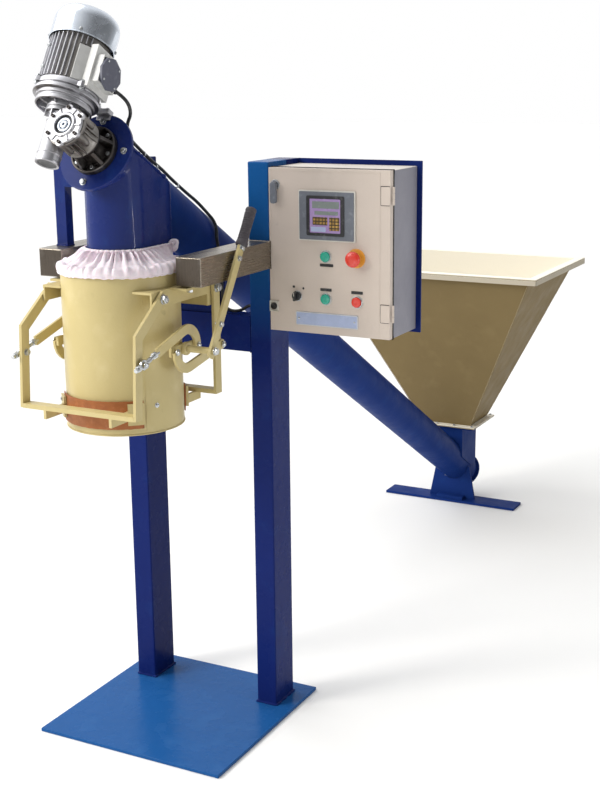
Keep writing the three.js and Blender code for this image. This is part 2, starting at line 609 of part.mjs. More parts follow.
function linksAndLever() {
  const [cy, cz] = CRANK.at;
  const shape = { front: hookedLink(LINK.front, 1), rear: hookedLink(LINK.rear, 1) };
  for (const [side, sign] of SIDES) {
    for (const end of ['front', 'rear']) {
      const from = LINK[end];
      const link = layer(sign, shape[end], LINK.inner, LINK.thick);
      const eye = pin(sign, from, 14, LINK.inner, LINK.inner + LINK.thick);
      place(`${end}_link_${side}`, cut(join(link, eye),
        pin(sign, from, 6 + GAP, LINK.inner - 1, LINK.inner + LINK.thick + 1)), CREAM);
    }
  }

  const crankShape = barOutline([[cy - CRANK.reach - 12, cz], [cy + CRANK.reach + 12, cz]], 26);
  const crankParts = (sign, shaftEnd) => [
    layer(sign, crankShape, CRANK.inner, CRANK.thick),
    pin(sign, CRANK.at, 9, 160, shaftEnd),
    pin(sign, [cy - CRANK.reach, cz], 7, CRANK.inner + 1, LINK.inner - GAP),
    pin(sign, [cy + CRANK.reach, cz], 7, CRANK.inner + 1, LINK.inner - GAP),
  ];
  place('lever_crank', join(...crankParts(1, LEVER.inner + LEVER.thick + 5)), CREAM);
  place('left_crank', join(...crankParts(-1, 200)), CREAM);

  const lean = THREE.MathUtils.degToRad(LEVER.lean);
  const at = (s) => [cy + s * Math.sin(lean), cz + s * Math.cos(lean)];
  const middle = LEVER.inner + LEVER.thick / 2;
  const gripStart = 298;
  const tilted = (geometry) => geometry.rotateX(Math.PI / 2 - lean).translate(middle, cy, cz);
  place('lever_arm', cut(join(
    layer(1, barOutline([at(-18), at(gripStart - 2)], LEVER.width), LEVER.inner, LEVER.thick),
    tilted(rod('y', gripStart - 12, LEVER.length - 14, 6, 0, 0, 12)),
  ),
  pin(1, CRANK.at, 9 + GAP, LEVER.inner - 1, LEVER.inner + LEVER.thick + 1),
  ), CREAM);
  const gripEnd = LEVER.length;
  place('lever_grip', tilted(turned([
    [6 + GAP, gripStart], [12, gripStart], [15, gripStart + 6], [13.5, gripStart + 40],
    [14.5, gripEnd - 10], [11, gripEnd], [0.01, gripEnd], [0.01, gripEnd - 13], [6 + GAP, gripEnd - 13],
  ], 20)), GRIP);
}

// ---------------------------------------------------------------- control cabinet
function cabinet() {
  const { left, right, front, seam, back, bottom, top } = PANEL;
  const skin = 2;
  const plateTop = 1622;
  const plateBottom = 1150;
  const inner = POST.x - POST.width / 2;
  const outer = POST.x + POST.width / 2;
  place('cabinet_back_plate', join(
    box(inner, right + 14, back + GAP, back + 6, plateBottom, plateTop),
    box(inner, outer, POST.front + POST.depth + GAP, back + 1, plateBottom, plateTop),
  ), BLUE);
  place('cabinet_body', cut(
    box(left, right, seam + GAP, back, bottom, top),
    box(left + skin, right - skin, seam, back - skin, bottom + skin, top - skin),
  ), GREY);

  const screen = { left: 345, right: 511, bottom: 1417, top: 1550 };
  const buttons = {
    start_button: [423, 1374, 11, GREEN],
    tare_button: [423, 1258, 11, GREEN],
    stop_button: [516, 1256, 11, RED],
  };
  const eStop = [514, 1374];
  const selector = [335, 1261];
  const handle = [271, 1562];
  const keyLock = [262, 1228];
  const holes = [
    box(screen.left + 12, screen.right - 12, front - 1, seam, screen.bottom + 12, screen.top - 12),
    rod('y', front - 5, seam, 10 + GAP, ...eStop),
    rod('y', front - 5, seam, 8 + GAP, ...selector),
    rod('y', front - 5, seam, 6 + GAP, ...handle, 16),
    rod('y', front - 5, seam, 7 + GAP, ...keyLock, 16),
    ...Object.values(buttons).map(([x, z, r]) => rod('y', front - 5, seam, r + GAP, x, z)),
  ];
  place('cabinet_door', cut(
    box(left, right, front, seam, bottom, top),
    box(left + skin, right - skin, front + skin, seam + 1, bottom + skin, top - skin),
    ...holes,
  ), GREY);
  place('controller', join(
    box(screen.left, screen.right, front - 6, front - GAP, screen.bottom, screen.top),
    box(screen.left + 14, screen.right - 14, front - 1, front + 70, screen.bottom + 14, screen.top - 14),
  ), BLACK);
  for (const [name, [x, z, r, material]] of Object.entries(buttons)) {
    place(name, rod('y', front - 9, front + 12, r, x, z), material);
  }
  const mushroom = turned([
    [0.01, -34], [12, -33], [20, -29], [22, -23], [20, -18], [10, -16], [10, 12], [0.01, 12],
  ], 20);
  place('e_stop_button', mushroom.translate(eStop[0], front, eStop[1]), RED);
  place('selector_knob', join(
    rod('y', front - 10, front - 2, 13, ...selector),
    box(selector[0] - 3.5, selector[0] + 3.5, front - 22, front - 9, selector[1] - 12, selector[1] + 12),
    rod('y', front - 3, front + 12, 8, ...selector),
  ), BLACK);
  place('door_handle', join(
    rod('y', front - 18, front - 4, 9, ...handle),
    box(handle[0] - 9, handle[0] + 9, front - 18, front - 6, handle[1] - 50, handle[1]),
    rod('y', front - 5, front + 14, 6, ...handle, 16),
  ), BLACK);
  place('key_lock', join(
    rod('y', front - 4, front - GAP, 10, ...keyLock),
    rod('y', front - 1, front + 14, 7, ...keyLock, 16),
  ), BLACK);

  const board = { left: left + 24, right: right - 24, bottom: bottom + 24, top: top - 24, back: back - 14 };
  const standoffs = [board.left + 14, board.right - 14].flatMap((x) => [board.bottom + 14, board.top - 14]
    .map((z) => rod('y', board.back - 1, back - skin - GAP, 6, x, z, 12)));
  place('mounting_panel', join(
    box(board.left, board.right, board.back - 2, board.back, board.bottom, board.top), ...standoffs,
  ), STEEL);
}

frame();
weighingBeams();
headSupport();
conveyor();
tailFoot();
feed();
gearmotor();
place('motor_cable', motorCable(), BLACK);
bagSpout();
clampFrame();
clamp();
linksAndLever();
cabinet();

export default station;
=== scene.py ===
import json
from math import acos, atan2, copysign, cos, pi, radians, sin, sqrt

import bmesh
import bpy
from mathutils import Matrix, Vector, noise


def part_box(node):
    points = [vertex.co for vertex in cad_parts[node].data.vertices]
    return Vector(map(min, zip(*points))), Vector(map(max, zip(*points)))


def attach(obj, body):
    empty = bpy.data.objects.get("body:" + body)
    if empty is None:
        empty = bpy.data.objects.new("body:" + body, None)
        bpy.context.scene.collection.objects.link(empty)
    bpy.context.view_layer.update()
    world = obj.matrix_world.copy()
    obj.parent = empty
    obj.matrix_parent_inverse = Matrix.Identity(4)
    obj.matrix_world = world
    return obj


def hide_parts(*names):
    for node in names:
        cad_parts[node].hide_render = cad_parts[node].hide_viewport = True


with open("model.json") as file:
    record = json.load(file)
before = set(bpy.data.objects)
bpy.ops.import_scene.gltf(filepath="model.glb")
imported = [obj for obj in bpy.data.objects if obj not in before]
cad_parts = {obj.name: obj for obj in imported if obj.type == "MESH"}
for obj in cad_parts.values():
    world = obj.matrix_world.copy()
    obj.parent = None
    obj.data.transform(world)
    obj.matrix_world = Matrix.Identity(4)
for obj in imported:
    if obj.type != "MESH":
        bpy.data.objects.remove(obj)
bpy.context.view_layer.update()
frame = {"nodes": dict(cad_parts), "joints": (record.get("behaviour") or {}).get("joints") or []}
joints = {j["name"]: j for j in frame["joints"]}
X, Z = Vector((1, 0, 0)), Vector((0, 0, 1))
# local x stays X and local y becomes Z
UPRIGHT = Matrix.Rotation(pi / 2, 4, "X")


def moved(x, y, z):
    return Matrix.Translation((x, y, z))


def turned(angle, axis="Z"):
    return Matrix.Rotation(angle, 4, axis)


def on_scene(name, data):
    made = bpy.data.objects.new(name, data)
    bpy.context.scene.collection.objects.link(made)
    return made


# ---- camera
def place_camera():
    yaw, pitch, roll = (radians(a) for a in (27.64, 13.86, -0.607))
    look = Vector((-sin(yaw) * cos(pitch), cos(yaw) * cos(pitch), -sin(pitch)))
    level = Vector((cos(yaw), sin(yaw), 0))
    over = level.cross(look)
    right = cos(roll) * level + sin(roll) * over
    up = -sin(roll) * level + cos(roll) * over
    data = bpy.data.cameras.new("camera")
    data.sensor_width = 36
    data.lens = 60.51
    data.clip_end = 100
    camera = on_scene("camera", data)
    camera.matrix_world = moved(2.0081, -3.0546, 1.8709) @ Matrix((right, up, -look)).transposed().to_4x4()
    bpy.context.scene.camera = camera


place_camera()


# ---- materials
def tint(code):
    """The linear colour of an sRGB code such as "1c3f9a"."""
    levels = [int(code[i:i + 2], 16) / 255 for i in (0, 2, 4)]
    return [c / 12.92 if c < 0.04 else ((c + 0.055) / 1.055) ** 2.4 for c in levels] + [1]


def mixed(a, b, share):
    return [x + (y - x) * share for x, y in zip(a, b)]


def fill(node, values):
    for key, value in values.items():
        node.inputs[key].default_value = value


class Paint:
    """A procedural material: colour mottled at two scales, uneven roughness and a fine bump."""

    def __init__(self, name, colour, roughness, metallic=0.0, coat=0.0, shine=0.5):
        self.material = bpy.data.materials.new(name)
        self.material.use_nodes = True
        self.tree = self.material.node_tree
        self.shader = self.tree.nodes["Principled BSDF"]
        fill(self.shader, {"Metallic": metallic, "Coat Weight": coat, "Coat Roughness": 0.03,
                           "Specular IOR Level": shine})
        self.coords = self.node("ShaderNodeTexCoord").outputs["Object"]
        self.colour = self.rgb(colour)
        self.base = colour
        self.roughness = roughness
        self.height = None

    def node(self, kind, **values):
        made = self.tree.nodes.new(kind)
        for key, value in values.items():
            if key in made.inputs:
                made.inputs[key].default_value = value
            else:
                setattr(made, key, value)
        return made

    def link(self, a, b):
        self.tree.links.new(a, b)

    def rgb(self, colour):
        made = self.node("ShaderNodeRGB")
        made.outputs[0].default_value = colour
        return made.outputs[0]

    def noise(self, scale, detail=4.0, low=0.35, high=0.65, rough=0.55):
        """Noise of one scale, or of one for each axis, stretched from low..high to 0..1."""
        made = self.node("ShaderNodeTexNoise", Scale=1.0, Detail=detail, Roughness=rough)
        size = self.node("ShaderNodeMapping", Scale=scale if isinstance(scale, tuple) else (scale,) * 3)
        self.link(self.coords, size.inputs["Vector"])
        self.link(size.outputs["Vector"], made.inputs["Vector"])
        return self.ramp(made.outputs["Fac"], low, high)

    def ramp(self, value, low, high, start=0.0, end=1.0):
        made = self.node("ShaderNodeMapRange",
                         **{"From Min": low, "From Max": high, "To Min": start, "To Max": end})
        self.link(value, made.inputs["Value"])
        return made.outputs["Result"]

    def maths(self, operation, a, b):
        made = self.node("ShaderNodeMath", operation=operation)
        for socket, value in zip(made.inputs, (a, b)):
            if isinstance(value, float):
                socket.default_value = value
            else:
                self.link(value, socket)
        return made.outputs[0]

    def blend(self, mask, colour, share=1.0):
        """Mixes a colour in where the mask is high."""
        made = self.node("ShaderNodeMix", data_type="RGBA")
        self.link(self.maths("MULTIPLY", mask, share), made.inputs["Factor"])
        self.link(self.colour, made.inputs[6])
        made.inputs[7].default_value = colour
        self.colour = made.outputs[2]

    def mottle(self, scale, amount, dark="000000", light="ffffff"):
        self.blend(self.noise(scale), mixed(self.base, tint(dark), amount))
        self.blend(self.noise(scale * 2.7, low=0.55, high=0.75), mixed(self.base, tint(light), amount * 0.6))

    def grain(self, scale, depth, detail=3.0):
        """Adds a bump of the given depth in metres."""
        wave = self.maths("MULTIPLY", self.noise(scale, detail, 0.2, 0.8), depth)
        self.height = wave if self.height is None else self.maths("ADD", self.height, wave)

    def scuffs(self, colour, share, scale=9.0, low=0.66):
        self.blend(self.noise(scale, 8.0, low, low + 0.06, 0.7), colour, share)

    def along_z(self, vector, colour, low, high, share=1.0):
        """Mixes a colour in where the Z of a vector is high."""
        split = self.node("ShaderNodeSeparateXYZ")
        self.link(vector, split.inputs[0])
        self.blend(self.ramp(split.outputs["Z"], low, high), colour, share)

    def facing_up(self, colour, low, high, share=1.0):
        """Mixes a colour in on faces that look up: painted light on upward faces, and, over a darker base
        colour, painted shade left on faces that look down.
        """
        self.along_z(self.node("ShaderNodeTexCoord").outputs["Normal"], colour, low, high, share)

    def done(self, spread=0.08, scale=14.0):
        self.link(self.colour, self.shader.inputs["Base Color"])
        low, high = max(self.roughness - spread, 0.03), self.roughness + spread
        self.link(self.ramp(self.noise(scale), 0, 1, low, high), self.shader.inputs["Roughness"])
        if self.height is not None:
            bump = self.node("ShaderNodeBump", Strength=1.0, Distance=1.0)
            self.link(self.height, bump.inputs["Height"])
            self.link(bump.outputs["Normal"], self.shader.inputs["Normal"])
        return self.material


def gloss_paint(name, code, dark, light, roughness, coat, shine, up=None, painted_top_light=None, lit_face_range=(-0.15, 0.25)):
    """Enamel; up is painted light, its colour on faces that look up; the top colour is a painted highlight at
    the top of a post.
    """
    paint = Paint(name, tint(code), roughness, 0.0, coat, shine)
    paint.mottle(5.0, 0.14, dark, light)
    paint.grain(38.0, 0.0006)
    paint.grain(420.0, 0.00008)
    paint.scuffs(mixed(tint(code), tint(dark), 0.5), 0.6)
    # painted light: faces that look up take the lighter up colour
    if up:
        paint.facing_up(tint(up), *lit_face_range, 0.96)
    # painted highlight: the post lightens towards the top colour near its top
    if painted_top_light:
        paint.along_z(paint.coords, tint(painted_top_light), 1.12, 1.36, 0.85)
    return paint.done(0.07)


def metal(name, code, roughness, stretch=None, grain=0.00005, dark="303030", painted_underside_shade=None):
    """Bare metal; stretch is the scale of its brushing, and the last colour is painted shade, its colour on
    faces that look down.
    """
    paint = Paint(name, tint(code), roughness, 0.92)
    # painted shade: faces that look down keep the darker last colour
    if painted_underside_shade:
        paint.colour = paint.rgb(tint(painted_underside_shade))
        paint.facing_up(tint(code), -0.75, -0.05)
    paint.mottle(11.0, 0.16, dark)
    if stretch:
        paint.blend(paint.noise(stretch, 2.0, 0.3, 0.7), mixed(tint(code), tint(dark), 0.22))
        paint.grain(stretch, 0.00006)
    paint.grain(260.0, grain)
    return paint.done(0.1, stretch or 22.0)


def plastic(name, code, roughness=0.4, grain=0.00003, coat=0.0, metallic=0.0):
    paint = Paint(name, tint(code), roughness, metallic, coat)
    paint.mottle(24.0, 0.12)
    paint.grain(700.0, grain)
    return paint.done(0.06)


def cloth_material():
    pale = tint("f4e8ef")
    paint = Paint("cover_cloth", pale, 0.85)
    paint.mottle(9.0, 0.12, "a98fa6")
    # painted shade: darker mauve streaks, stretched upright, stand in for the shadows in the gathers
    paint.blend(paint.noise((70, 70, 16), 3.0, 0.5, 0.7), mixed(pale, tint("9a7f92"), 0.5), 0.5)
    for weave in ((1500, 60, 60), (60, 60, 1500)):
        paint.grain(weave, 0.0001, 1.0)
    paint.blend(paint.noise(120.0), mixed(pale, tint("b490a8"), 0.22), 0.6)
    fill(paint.shader, {"Sheen Weight": 0.35, "Subsurface Weight": 0.08, "Subsurface Scale": 0.004})
    return paint.done(0.05)


def rubber_material():
    paint = Paint("strap_rubber", tint("a5622f"), 0.62)
    paint.mottle(26.0, 0.3, "5a2a16", "d08a60")
    paint.grain(300.0, 0.0002)
    paint.grain(60.0, 0.0005)
    paint.scuffs(tint("6a3a26"), 0.5, 30.0, 0.6)
    return paint.done(0.1)


def keys_material():
    """The controller's keypad film: rows of small pads."""
    paint = Paint("keypad_film", tint("7a6233"), 0.45)
    pads = paint.node("ShaderNodeTexBrick", offset=0, **{
        "Scale": 1.0, "Color1": tint("c9a04a"), "Color2": tint("8d6a2c"), "Mortar": tint("33291a"),
        "Mortar Size": 0.0016, "Brick Width": 0.0095, "Row Height": 0.0088})
    upright = paint.node("ShaderNodeMapping", Rotation=(-pi / 2, 0, 0))
    paint.link(paint.coords, upright.inputs["Vector"])
    paint.link(upright.outputs["Vector"], pads.inputs["Vector"])
    paint.colour = pads.outputs["Color"]
    paint.scuffs(tint("4e3d1c"), 0.4, 40.0, 0.5)
    return paint.done(0.05)


LOOKS = {
    "blue": gloss_paint("blue_paint", "152564", "141a4e", "1f5a9a", 0.26, 0.0, 0.06),
    # painted highlight: the post paint lightens to azure towards the top of the post
    "post": gloss_paint("post_paint", "152564", "141a4e", "1f5a9a", 0.26, 0.0, 0.06, None, "1b5a98"),
    "feed": gloss_paint("feed_paint", "1a3474", "17295e", "2a66a8", 0.45, 0.0, 0.03),
    "head": gloss_paint("head_paint", "192a6a", "151c54", "2a6ab0", 0.26, 0.3, 0.06),
    # painted light: the base plate is a lighter copy of the frame blue, standing for its lit top face
    "plate": gloss_paint("plate_paint", "1d5593", "184578", "5f92c4", 0.26, 0.0, 0.08),
    "cream": gloss_paint("cream_paint", "c8b883", "8a7d55", "efe8cf", 0.36, 0.04, 0.3),
    # painted shade and light: the cream hopper is darkened all over, with a pale painted light on faces that
    # look up
    "hopper": gloss_paint("hopper_paint", "806f4d", "5c4c33", "a8966f", 0.5, 0.0, 0.04, "fffaec"),
    "grey": gloss_paint("cabinet_paint", "cdc0b5", "a3988f", "e4dad0", 0.42, 0.05, 0.35),
    # painted shade: the cabinet body is a darker, shaded copy of the cabinet paint, with painted light on
    # faces that look up
    "shell": gloss_paint("shell_painted_shade", "86858f", "6b6a76", "b4b2b8", 0.45, 0.0, 0.3, "ddd5cc", None,
                         (0.4, 0.8)),
    "pale": plastic("pale_casting", "d6d6d4", 0.5, 0.0001, 0.0, 0.3),
    "stainless": metal("brushed_stainless", "968d80", 0.3, (500, 12, 500)),
    # painted shade: a darker copy of the stainless for the shaded beam ends
    "stainless_shaded_end": metal("beam_end_steel_painted_shade", "5c544c", 0.36, (260, 60, 12)),
    "steel": metal("machined_steel", "8b8d90", 0.33),
    "zinc": metal("zinc_plate", "c4c7c9", 0.28, None, 0.00003, "6d6f72"),
    # painted shade: aluminium, housing and cast darken on faces that look down; housing is also a darker,
    # shaded copy of the aluminium
    "aluminium": metal("cast_aluminium", "cbcbd0", 0.38, None, 0.00018, "6a6b70", "3a322c"),
    "housing": metal("aluminium_painted_shade", "97938f", 0.46, None, 0.0003, "332f2c", "2a211b"),
    "cover": metal("fan_cover_metal", "dfe6f0", 0.2, None, 0.000008, "8a94a2"),
    "cast": metal("dark_casting", "565250", 0.42, None, 0.0004, "1d1b1a", "2c221c"),
    "bronze": metal("worm_bronze", "a9793a", 0.35),
    "black": plastic("black_plastic", "232427", 0.42),
    "lid": plastic("lid_plastic", "5b5d6c", 0.5, 0.00006),
    "bezel": plastic("bezel_plastic", "6c717b", 0.42, 0.00004),
    "grip": plastic("grip_rubber", "4b464b", 0.6, 0.0002),
    "green": plastic("green_lens", "12a58c", 0.2, 0.00001, 0.6),
    "red": plastic("red_lens", "dc3524", 0.24, 0.00001, 0.5),
    "yellow": plastic("yellow_disc", "e8a53c", 0.4),
    "white": plastic("pale_plastic", "d9d6cd", 0.35),
    "plate_label": plastic("label_film", "a9b6d6", 0.3, 0.00001),
    "screen": plastic("screen_film", "a184bb", 0.28, 0.00001, 0.5),
    "lcd": plastic("lcd_glass", "6f7a76", 0.15, 0.00001, 0.8),
    "keys": keys_material(),
    "cloth": cloth_material(),
    "rubber": rubber_material(),
}


# ---- mesh building
SHARP = radians(38)


def soften(piece, width, angle=SHARP):
    """Rounds the edges sharper than the angle."""
    bevel = piece.modifiers.new("edges", "BEVEL")
    bevel.width = width
    bevel.segments = 2
    bevel.limit_method = "ANGLE"
    bevel.angle_limit = angle
    bevel.use_clamp_overlap = True
    normals = piece.modifiers.new("normals", "WEIGHTED_NORMAL")
    normals.mode = "FACE_AREA"
    normals.weight = 100
    normals.keep_sharp = False


def mm(text, rise=0.0):
    """The points of "x y, x y" in millimetres, with rise metres added to every y."""
    pairs = [[float(n) / 1000 for n in pair.split()] for pair in text.split(",")]
    return [(x, y + rise) for x, y in pairs]


def straight(start, end, count):
    """Points spread evenly from start to end."""
    return [Vector(start).lerp(Vector(end), i / (count - 1)) for i in range(count)]


class Shape:
    """Collects solids in one mesh. Every adder takes the matrix from its own frame to the shape's."""

    def __init__(self, matrix=Matrix()):
        self.mesh = bmesh.new()
        self.matrix = matrix

    def add(self, points, faces, matrix=Matrix()):
        put = self.matrix @ matrix
        verts = [self.mesh.verts.new(put @ Vector(p)) for p in points]
        for face in faces:
            self.mesh.faces.new([verts[i] for i in face])
        return self

    def box(self, lo, hi, matrix=Matrix()):
        points = [(x, y, z) for z in (lo[2], hi[2]) for y in (lo[1], hi[1]) for x in (lo[0], hi[0])]
        faces = [(0, 2, 3, 1), (4, 5, 7, 6), (0, 1, 5, 4), (2, 6, 7, 3), (0, 4, 6, 2), (1, 3, 7, 5)]
        return self.add(points, faces, matrix)

    def ring(self, profile, sides=48, matrix=Matrix(), closed=True):
        """Turns a closed loop of (radius, height) points about local Z."""
        n = len(profile)
        points, faces = [], []
        for i in range(sides):
            a = 2 * pi * i / sides
            points += [(r * cos(a), r * sin(a), z) for r, z in profile]
            j = (i + 1) % sides
            faces += [(i * n + k, j * n + k, j * n + (k + 1) % n, i * n + (k + 1) % n)
                      for k in range(n if closed else n - 1)]
        if not closed:
            faces += [[i * n for i in reversed(range(sides))], [i * n + n - 1 for i in range(sides)]]
        return self.add(points, faces, matrix)

    def stack(self, profile, sides=32, matrix=Matrix()):
        """Turns an open line of (radius, height) points about local Z and closes both ends."""
        return self.ring(profile, sides, matrix, False)

    def prism(self, outline, z0, z1, matrix=Matrix()):
        n = len(outline)
        points = [(x, y, z) for z in (z0, z1) for x, y in outline]
        faces = [list(reversed(range(n))), list(range(n, 2 * n))]
        faces += [(i, (i + 1) % n, n + (i + 1) % n, n + i) for i in range(n)]
        return self.add(points, faces, matrix)

    def tube(self, line, radius, sides=8, lump=0.0, seed=0.0, closed=False):
        """A round bead along a line; lump makes it uneven, as a weld is."""
        points, faces = [], []
        count = len(line)
        for i, p in enumerate(line):
            ahead = line[(i + 1) % count] if closed or i < count - 1 else p
            behind = line[i - 1] if closed or i > 0 else p
            along = (ahead - behind).normalized()
            side = along.cross(Z)
            side = side.normalized() if side.length > 0.05 else along.cross(X).normalized()
            over = side.cross(along)
            r = radius * (1 + lump * noise.noise(p * 90 + Vector((seed, seed, 0))))
            points += [p + r * (cos(2 * pi * k / sides) * side + sin(2 * pi * k / sides) * over)
                       for k in range(sides)]
        for i in range(count if closed else count - 1):
            j = (i + 1) % count
            faces += [(i * sides + k, i * sides + (k + 1) % sides, j * sides + (k + 1) % sides, j * sides + k)
                      for k in range(sides)]
        if not closed:
            faces += [list(reversed(range(sides))), [(count - 1) * sides + k for k in range(sides)]]
        return self.add(points, faces)

    def bolt(self, matrix, size, washer=True, head="hex"):
        """A screw head on a surface; local +Z points out of it."""
        def sized(*profile):
            return [(size * r, z + size * h) for r, h in profile]

        z = 0.0
        if washer:
            z = 0.0016
            self.stack([(size * 1.05, 0), (size * 1.05, z)], 20, matrix)
        if head == "hex":
            return self.stack(sized((0.9, 0), (0.9, 0.62), (0.76, 0.72)), 6, matrix)
        if head == "dome":
            return self.stack(sized((0.85, 0), (0.8, 0.3), (0.45, 0.5), (0.1, 0.55)), 16, matrix)
        self.ring(sized((0.35, 0.4), (0.75, 0), (0.75, 0.9), (0.4, 0.9)), 18, matrix)
        return self.stack(sized((0.4, 0), (0.4, 0.4)), 6, matrix)

    def bolts(self, spots, size, washer=True, head="hex"):
        for spot in spots:
            self.bolt(spot, size, washer, head)
        return self

    def piece(self, name, look, bevel=0.0, stands_for=None, body="station"):
        bmesh.ops.recalc_face_normals(self.mesh, faces=self.mesh.faces)
        data = bpy.data.meshes.new(name)
        self.mesh.to_mesh(data)
        self.mesh.free()
        data.polygons.foreach_set("use_smooth", [True] * len(data.polygons))
        data.materials.append(LOOKS[look])
        made = on_scene(name, data)
        if bevel:
            soften(made, bevel)
        else:
            data.set_sharp_from_angle(angle=SHARP)
        if stands_for:
            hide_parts(stands_for)
        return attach(made, body)


def towards(point, direction, about=Z):
    """The matrix of a frame at point whose +Z is direction."""
    z = Vector(direction).normalized()
    x = about.cross(z)
    x = x.normalized() if x.length > 1e-4 else X
    return Matrix.Translation(point) @ Matrix((x, z.cross(x), z)).transposed().to_4x4()


def polar(radius, angle, z=0.0):
    return turned(angle) @ moved(radius, 0, z)


def circle(count, radius=0.0, first=0.0, z=0.0):
    """Frames spread evenly round local Z, or turned about it where there is no radius."""
    return [polar(radius, first + 2 * pi * i / count, z) for i in range(count)]


def outward(radius, angle, z):
    """A frame on a round side, its +Z pointing out."""
    return polar(radius, angle, z) @ turned(pi / 2, "Y")


def at_angle(angle, radius=1.0, z=0.0):
    return Vector((radius * cos(angle), radius * sin(angle), z))


# ---- frames from the joints
def at_joint(name):
    return Vector(joints[name]["pos_m"])


down = Vector(joints["screw_turn"]["axis"])
lift = Vector(joints["motor_turn"]["axis"])
basis = Matrix((X, down, lift)).transposed().to_4x4()
screw = Matrix.Translation(at_joint("screw_turn")) @ basis
drive = Matrix.Translation(at_joint("motor_turn")) @ basis
# +Z forward along the screw axis, out of the head plate
nose = screw @ UPRIGHT
crank = at_joint("lever_swing")
front_pin = at_joint("front_link_right_swing")
rear_pin = at_joint("rear_link_right_swing")


# ---- CAD nodes that stay
def dress():
    looks = {
        "plate": "base_plate",
        "blue": "left_post cross_member tube_saddle cabinet_back_plate",
        "head": "head_plate discharge_head head_support",
        "post": "right_post",
        "feed": "tail_plate conveyor_tube tail_foot inlet_neck",
        "cream": "drum clamp_frame front_yoke rear_yoke rear_link_left rear_link_right lever_crank"
                 " left_crank lever_arm",
        "hopper": "hopper",
        "grey": "cabinet_door",
        "shell": "cabinet_body",
        "stainless": "left_beam right_beam",
        "steel": "auger worm_shaft mounting_panel left_load_cell right_load_cell",
        "aluminium": "gearbox_housing motor_adapter",
        "pale": "terminal_box",
        "cast": "tail_bearing",
        "bronze": "worm_wheel",
        "black": "shaft_seal fan",
        "lid": "terminal_box_lid",
    }
    edges = {"left_post": 0.006, "right_post": 0.006, "left_beam": 0.003, "right_beam": 0.003,
             "base_plate": 0.0015, "cabinet_body": 0.002, "cabinet_door": 0.003, "hopper": 0.0015,
             "gearbox_housing": 0.003, "terminal_box": 0.005, "terminal_box_lid": 0.002,
             "motor_adapter": 0.003, "tail_foot": 0.002, "lever_arm": 0.0022, "auger": 0.0005}
    for look, names in looks.items():
        for name in names.split():
            node = frame["nodes"][name]
            node.data.materials.clear()
            node.data.materials.append(LOOKS[look])
            node.modifiers.new("weld", "WELD").merge_threshold = 0.00002
            node.data.polygons.foreach_set("use_smooth", [True] * len(node.data.polygons))
            soften(node, edges.get(name, 0.0012), radians(32))


dress()


# ---- head and gearmotor
def head_details():
    Shape(nose).bolts([moved(*at_angle(radians(a), 0.084)) for a in (-98, 3, 92)], 0.0085).piece(
        "head_plate_bolts", "zinc", 0.0006)
    lug = Shape(screw).box((-0.024, -0.02, 0.098), (0.018, 0.004, 0.112))
    lug.box((-0.024, -0.006, 0.086), (0.018, -0.0003, 0.1)).piece("head_plate_lug", "aluminium", 0.002)
    Shape(screw).bolts([moved(x, -0.01, 0.112) for x in (-0.014, 0.008)], 0.006, True, "dome").piece(
        "lug_screws", "zinc")

    low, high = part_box("discharge_head")
    welds = Shape()
    welds.tube([screw @ Vector((0.0835 * cos(a), 0.012, 0.074 * sin(a)))
                for a in map(radians, range(24, 157, 4))], 0.0035, 8, 0.6)
    for sign in (-1, 1):
        edge, root = sign * (high.x - 0.0006), sign * (high.x - 0.004)
        for bead, radius, lump, seed in (
                (straight((edge, 0.014, 0.0295), (edge, 0.21, 0.0295), 50), 0.0042, 1.1, 3.0 + sign),
                (straight((root, 0.0125, -0.06), (root, 0.0125, 0.024), 22), 0.0036, 0.9, 8.0 + sign)):
            welds.tube([screw @ p for p in bead], radius, 8, lump, seed)
    welds.piece("head_welds", "blue")
    seams = Shape()
    for seed, x in ((5.0, high.x - 0.0006), (6.0, low.x + 0.0006)):
        y = high.y - 0.001
        seams.tube(straight((x, y, low.z + 0.004), (x, y, low.z + 0.235), 34), 0.003, 8, 0.8, seed)
    seams.piece("housing_seams", "blue")


def casting():
    first, between = 0.3, 0.3 + pi / 6
    flange = Shape(nose).ring(mm(
        "18.6 .3, 64 .3, 64 13.5, 62.5 16.5, 58 16.5, 56 7, 40 7, 34 20, 33 40, 38 50, 46 56, 46 61.7,"
        "18.6 61.7"), 64)
    for rib, boss in zip(circle(6, 0, first), circle(6, 0.0505, between)):
        flange.prism(mm("30 6, 61.5 6, 60.5 15, 54.5 34, 48 56, 30 56"), -0.0048, 0.0048, rib @ UPRIGHT)
        flange.stack(mm("8.5 4, 8.5 13, 7 14.5"), 18, boss)
    flange.piece("ribbed_flange", "cast", 0.0012, "output_flange")
    Shape(nose).bolts(circle(6, 0.0515, between, 0.0145), 0.0062, False).piece("flange_bolts", "zinc")


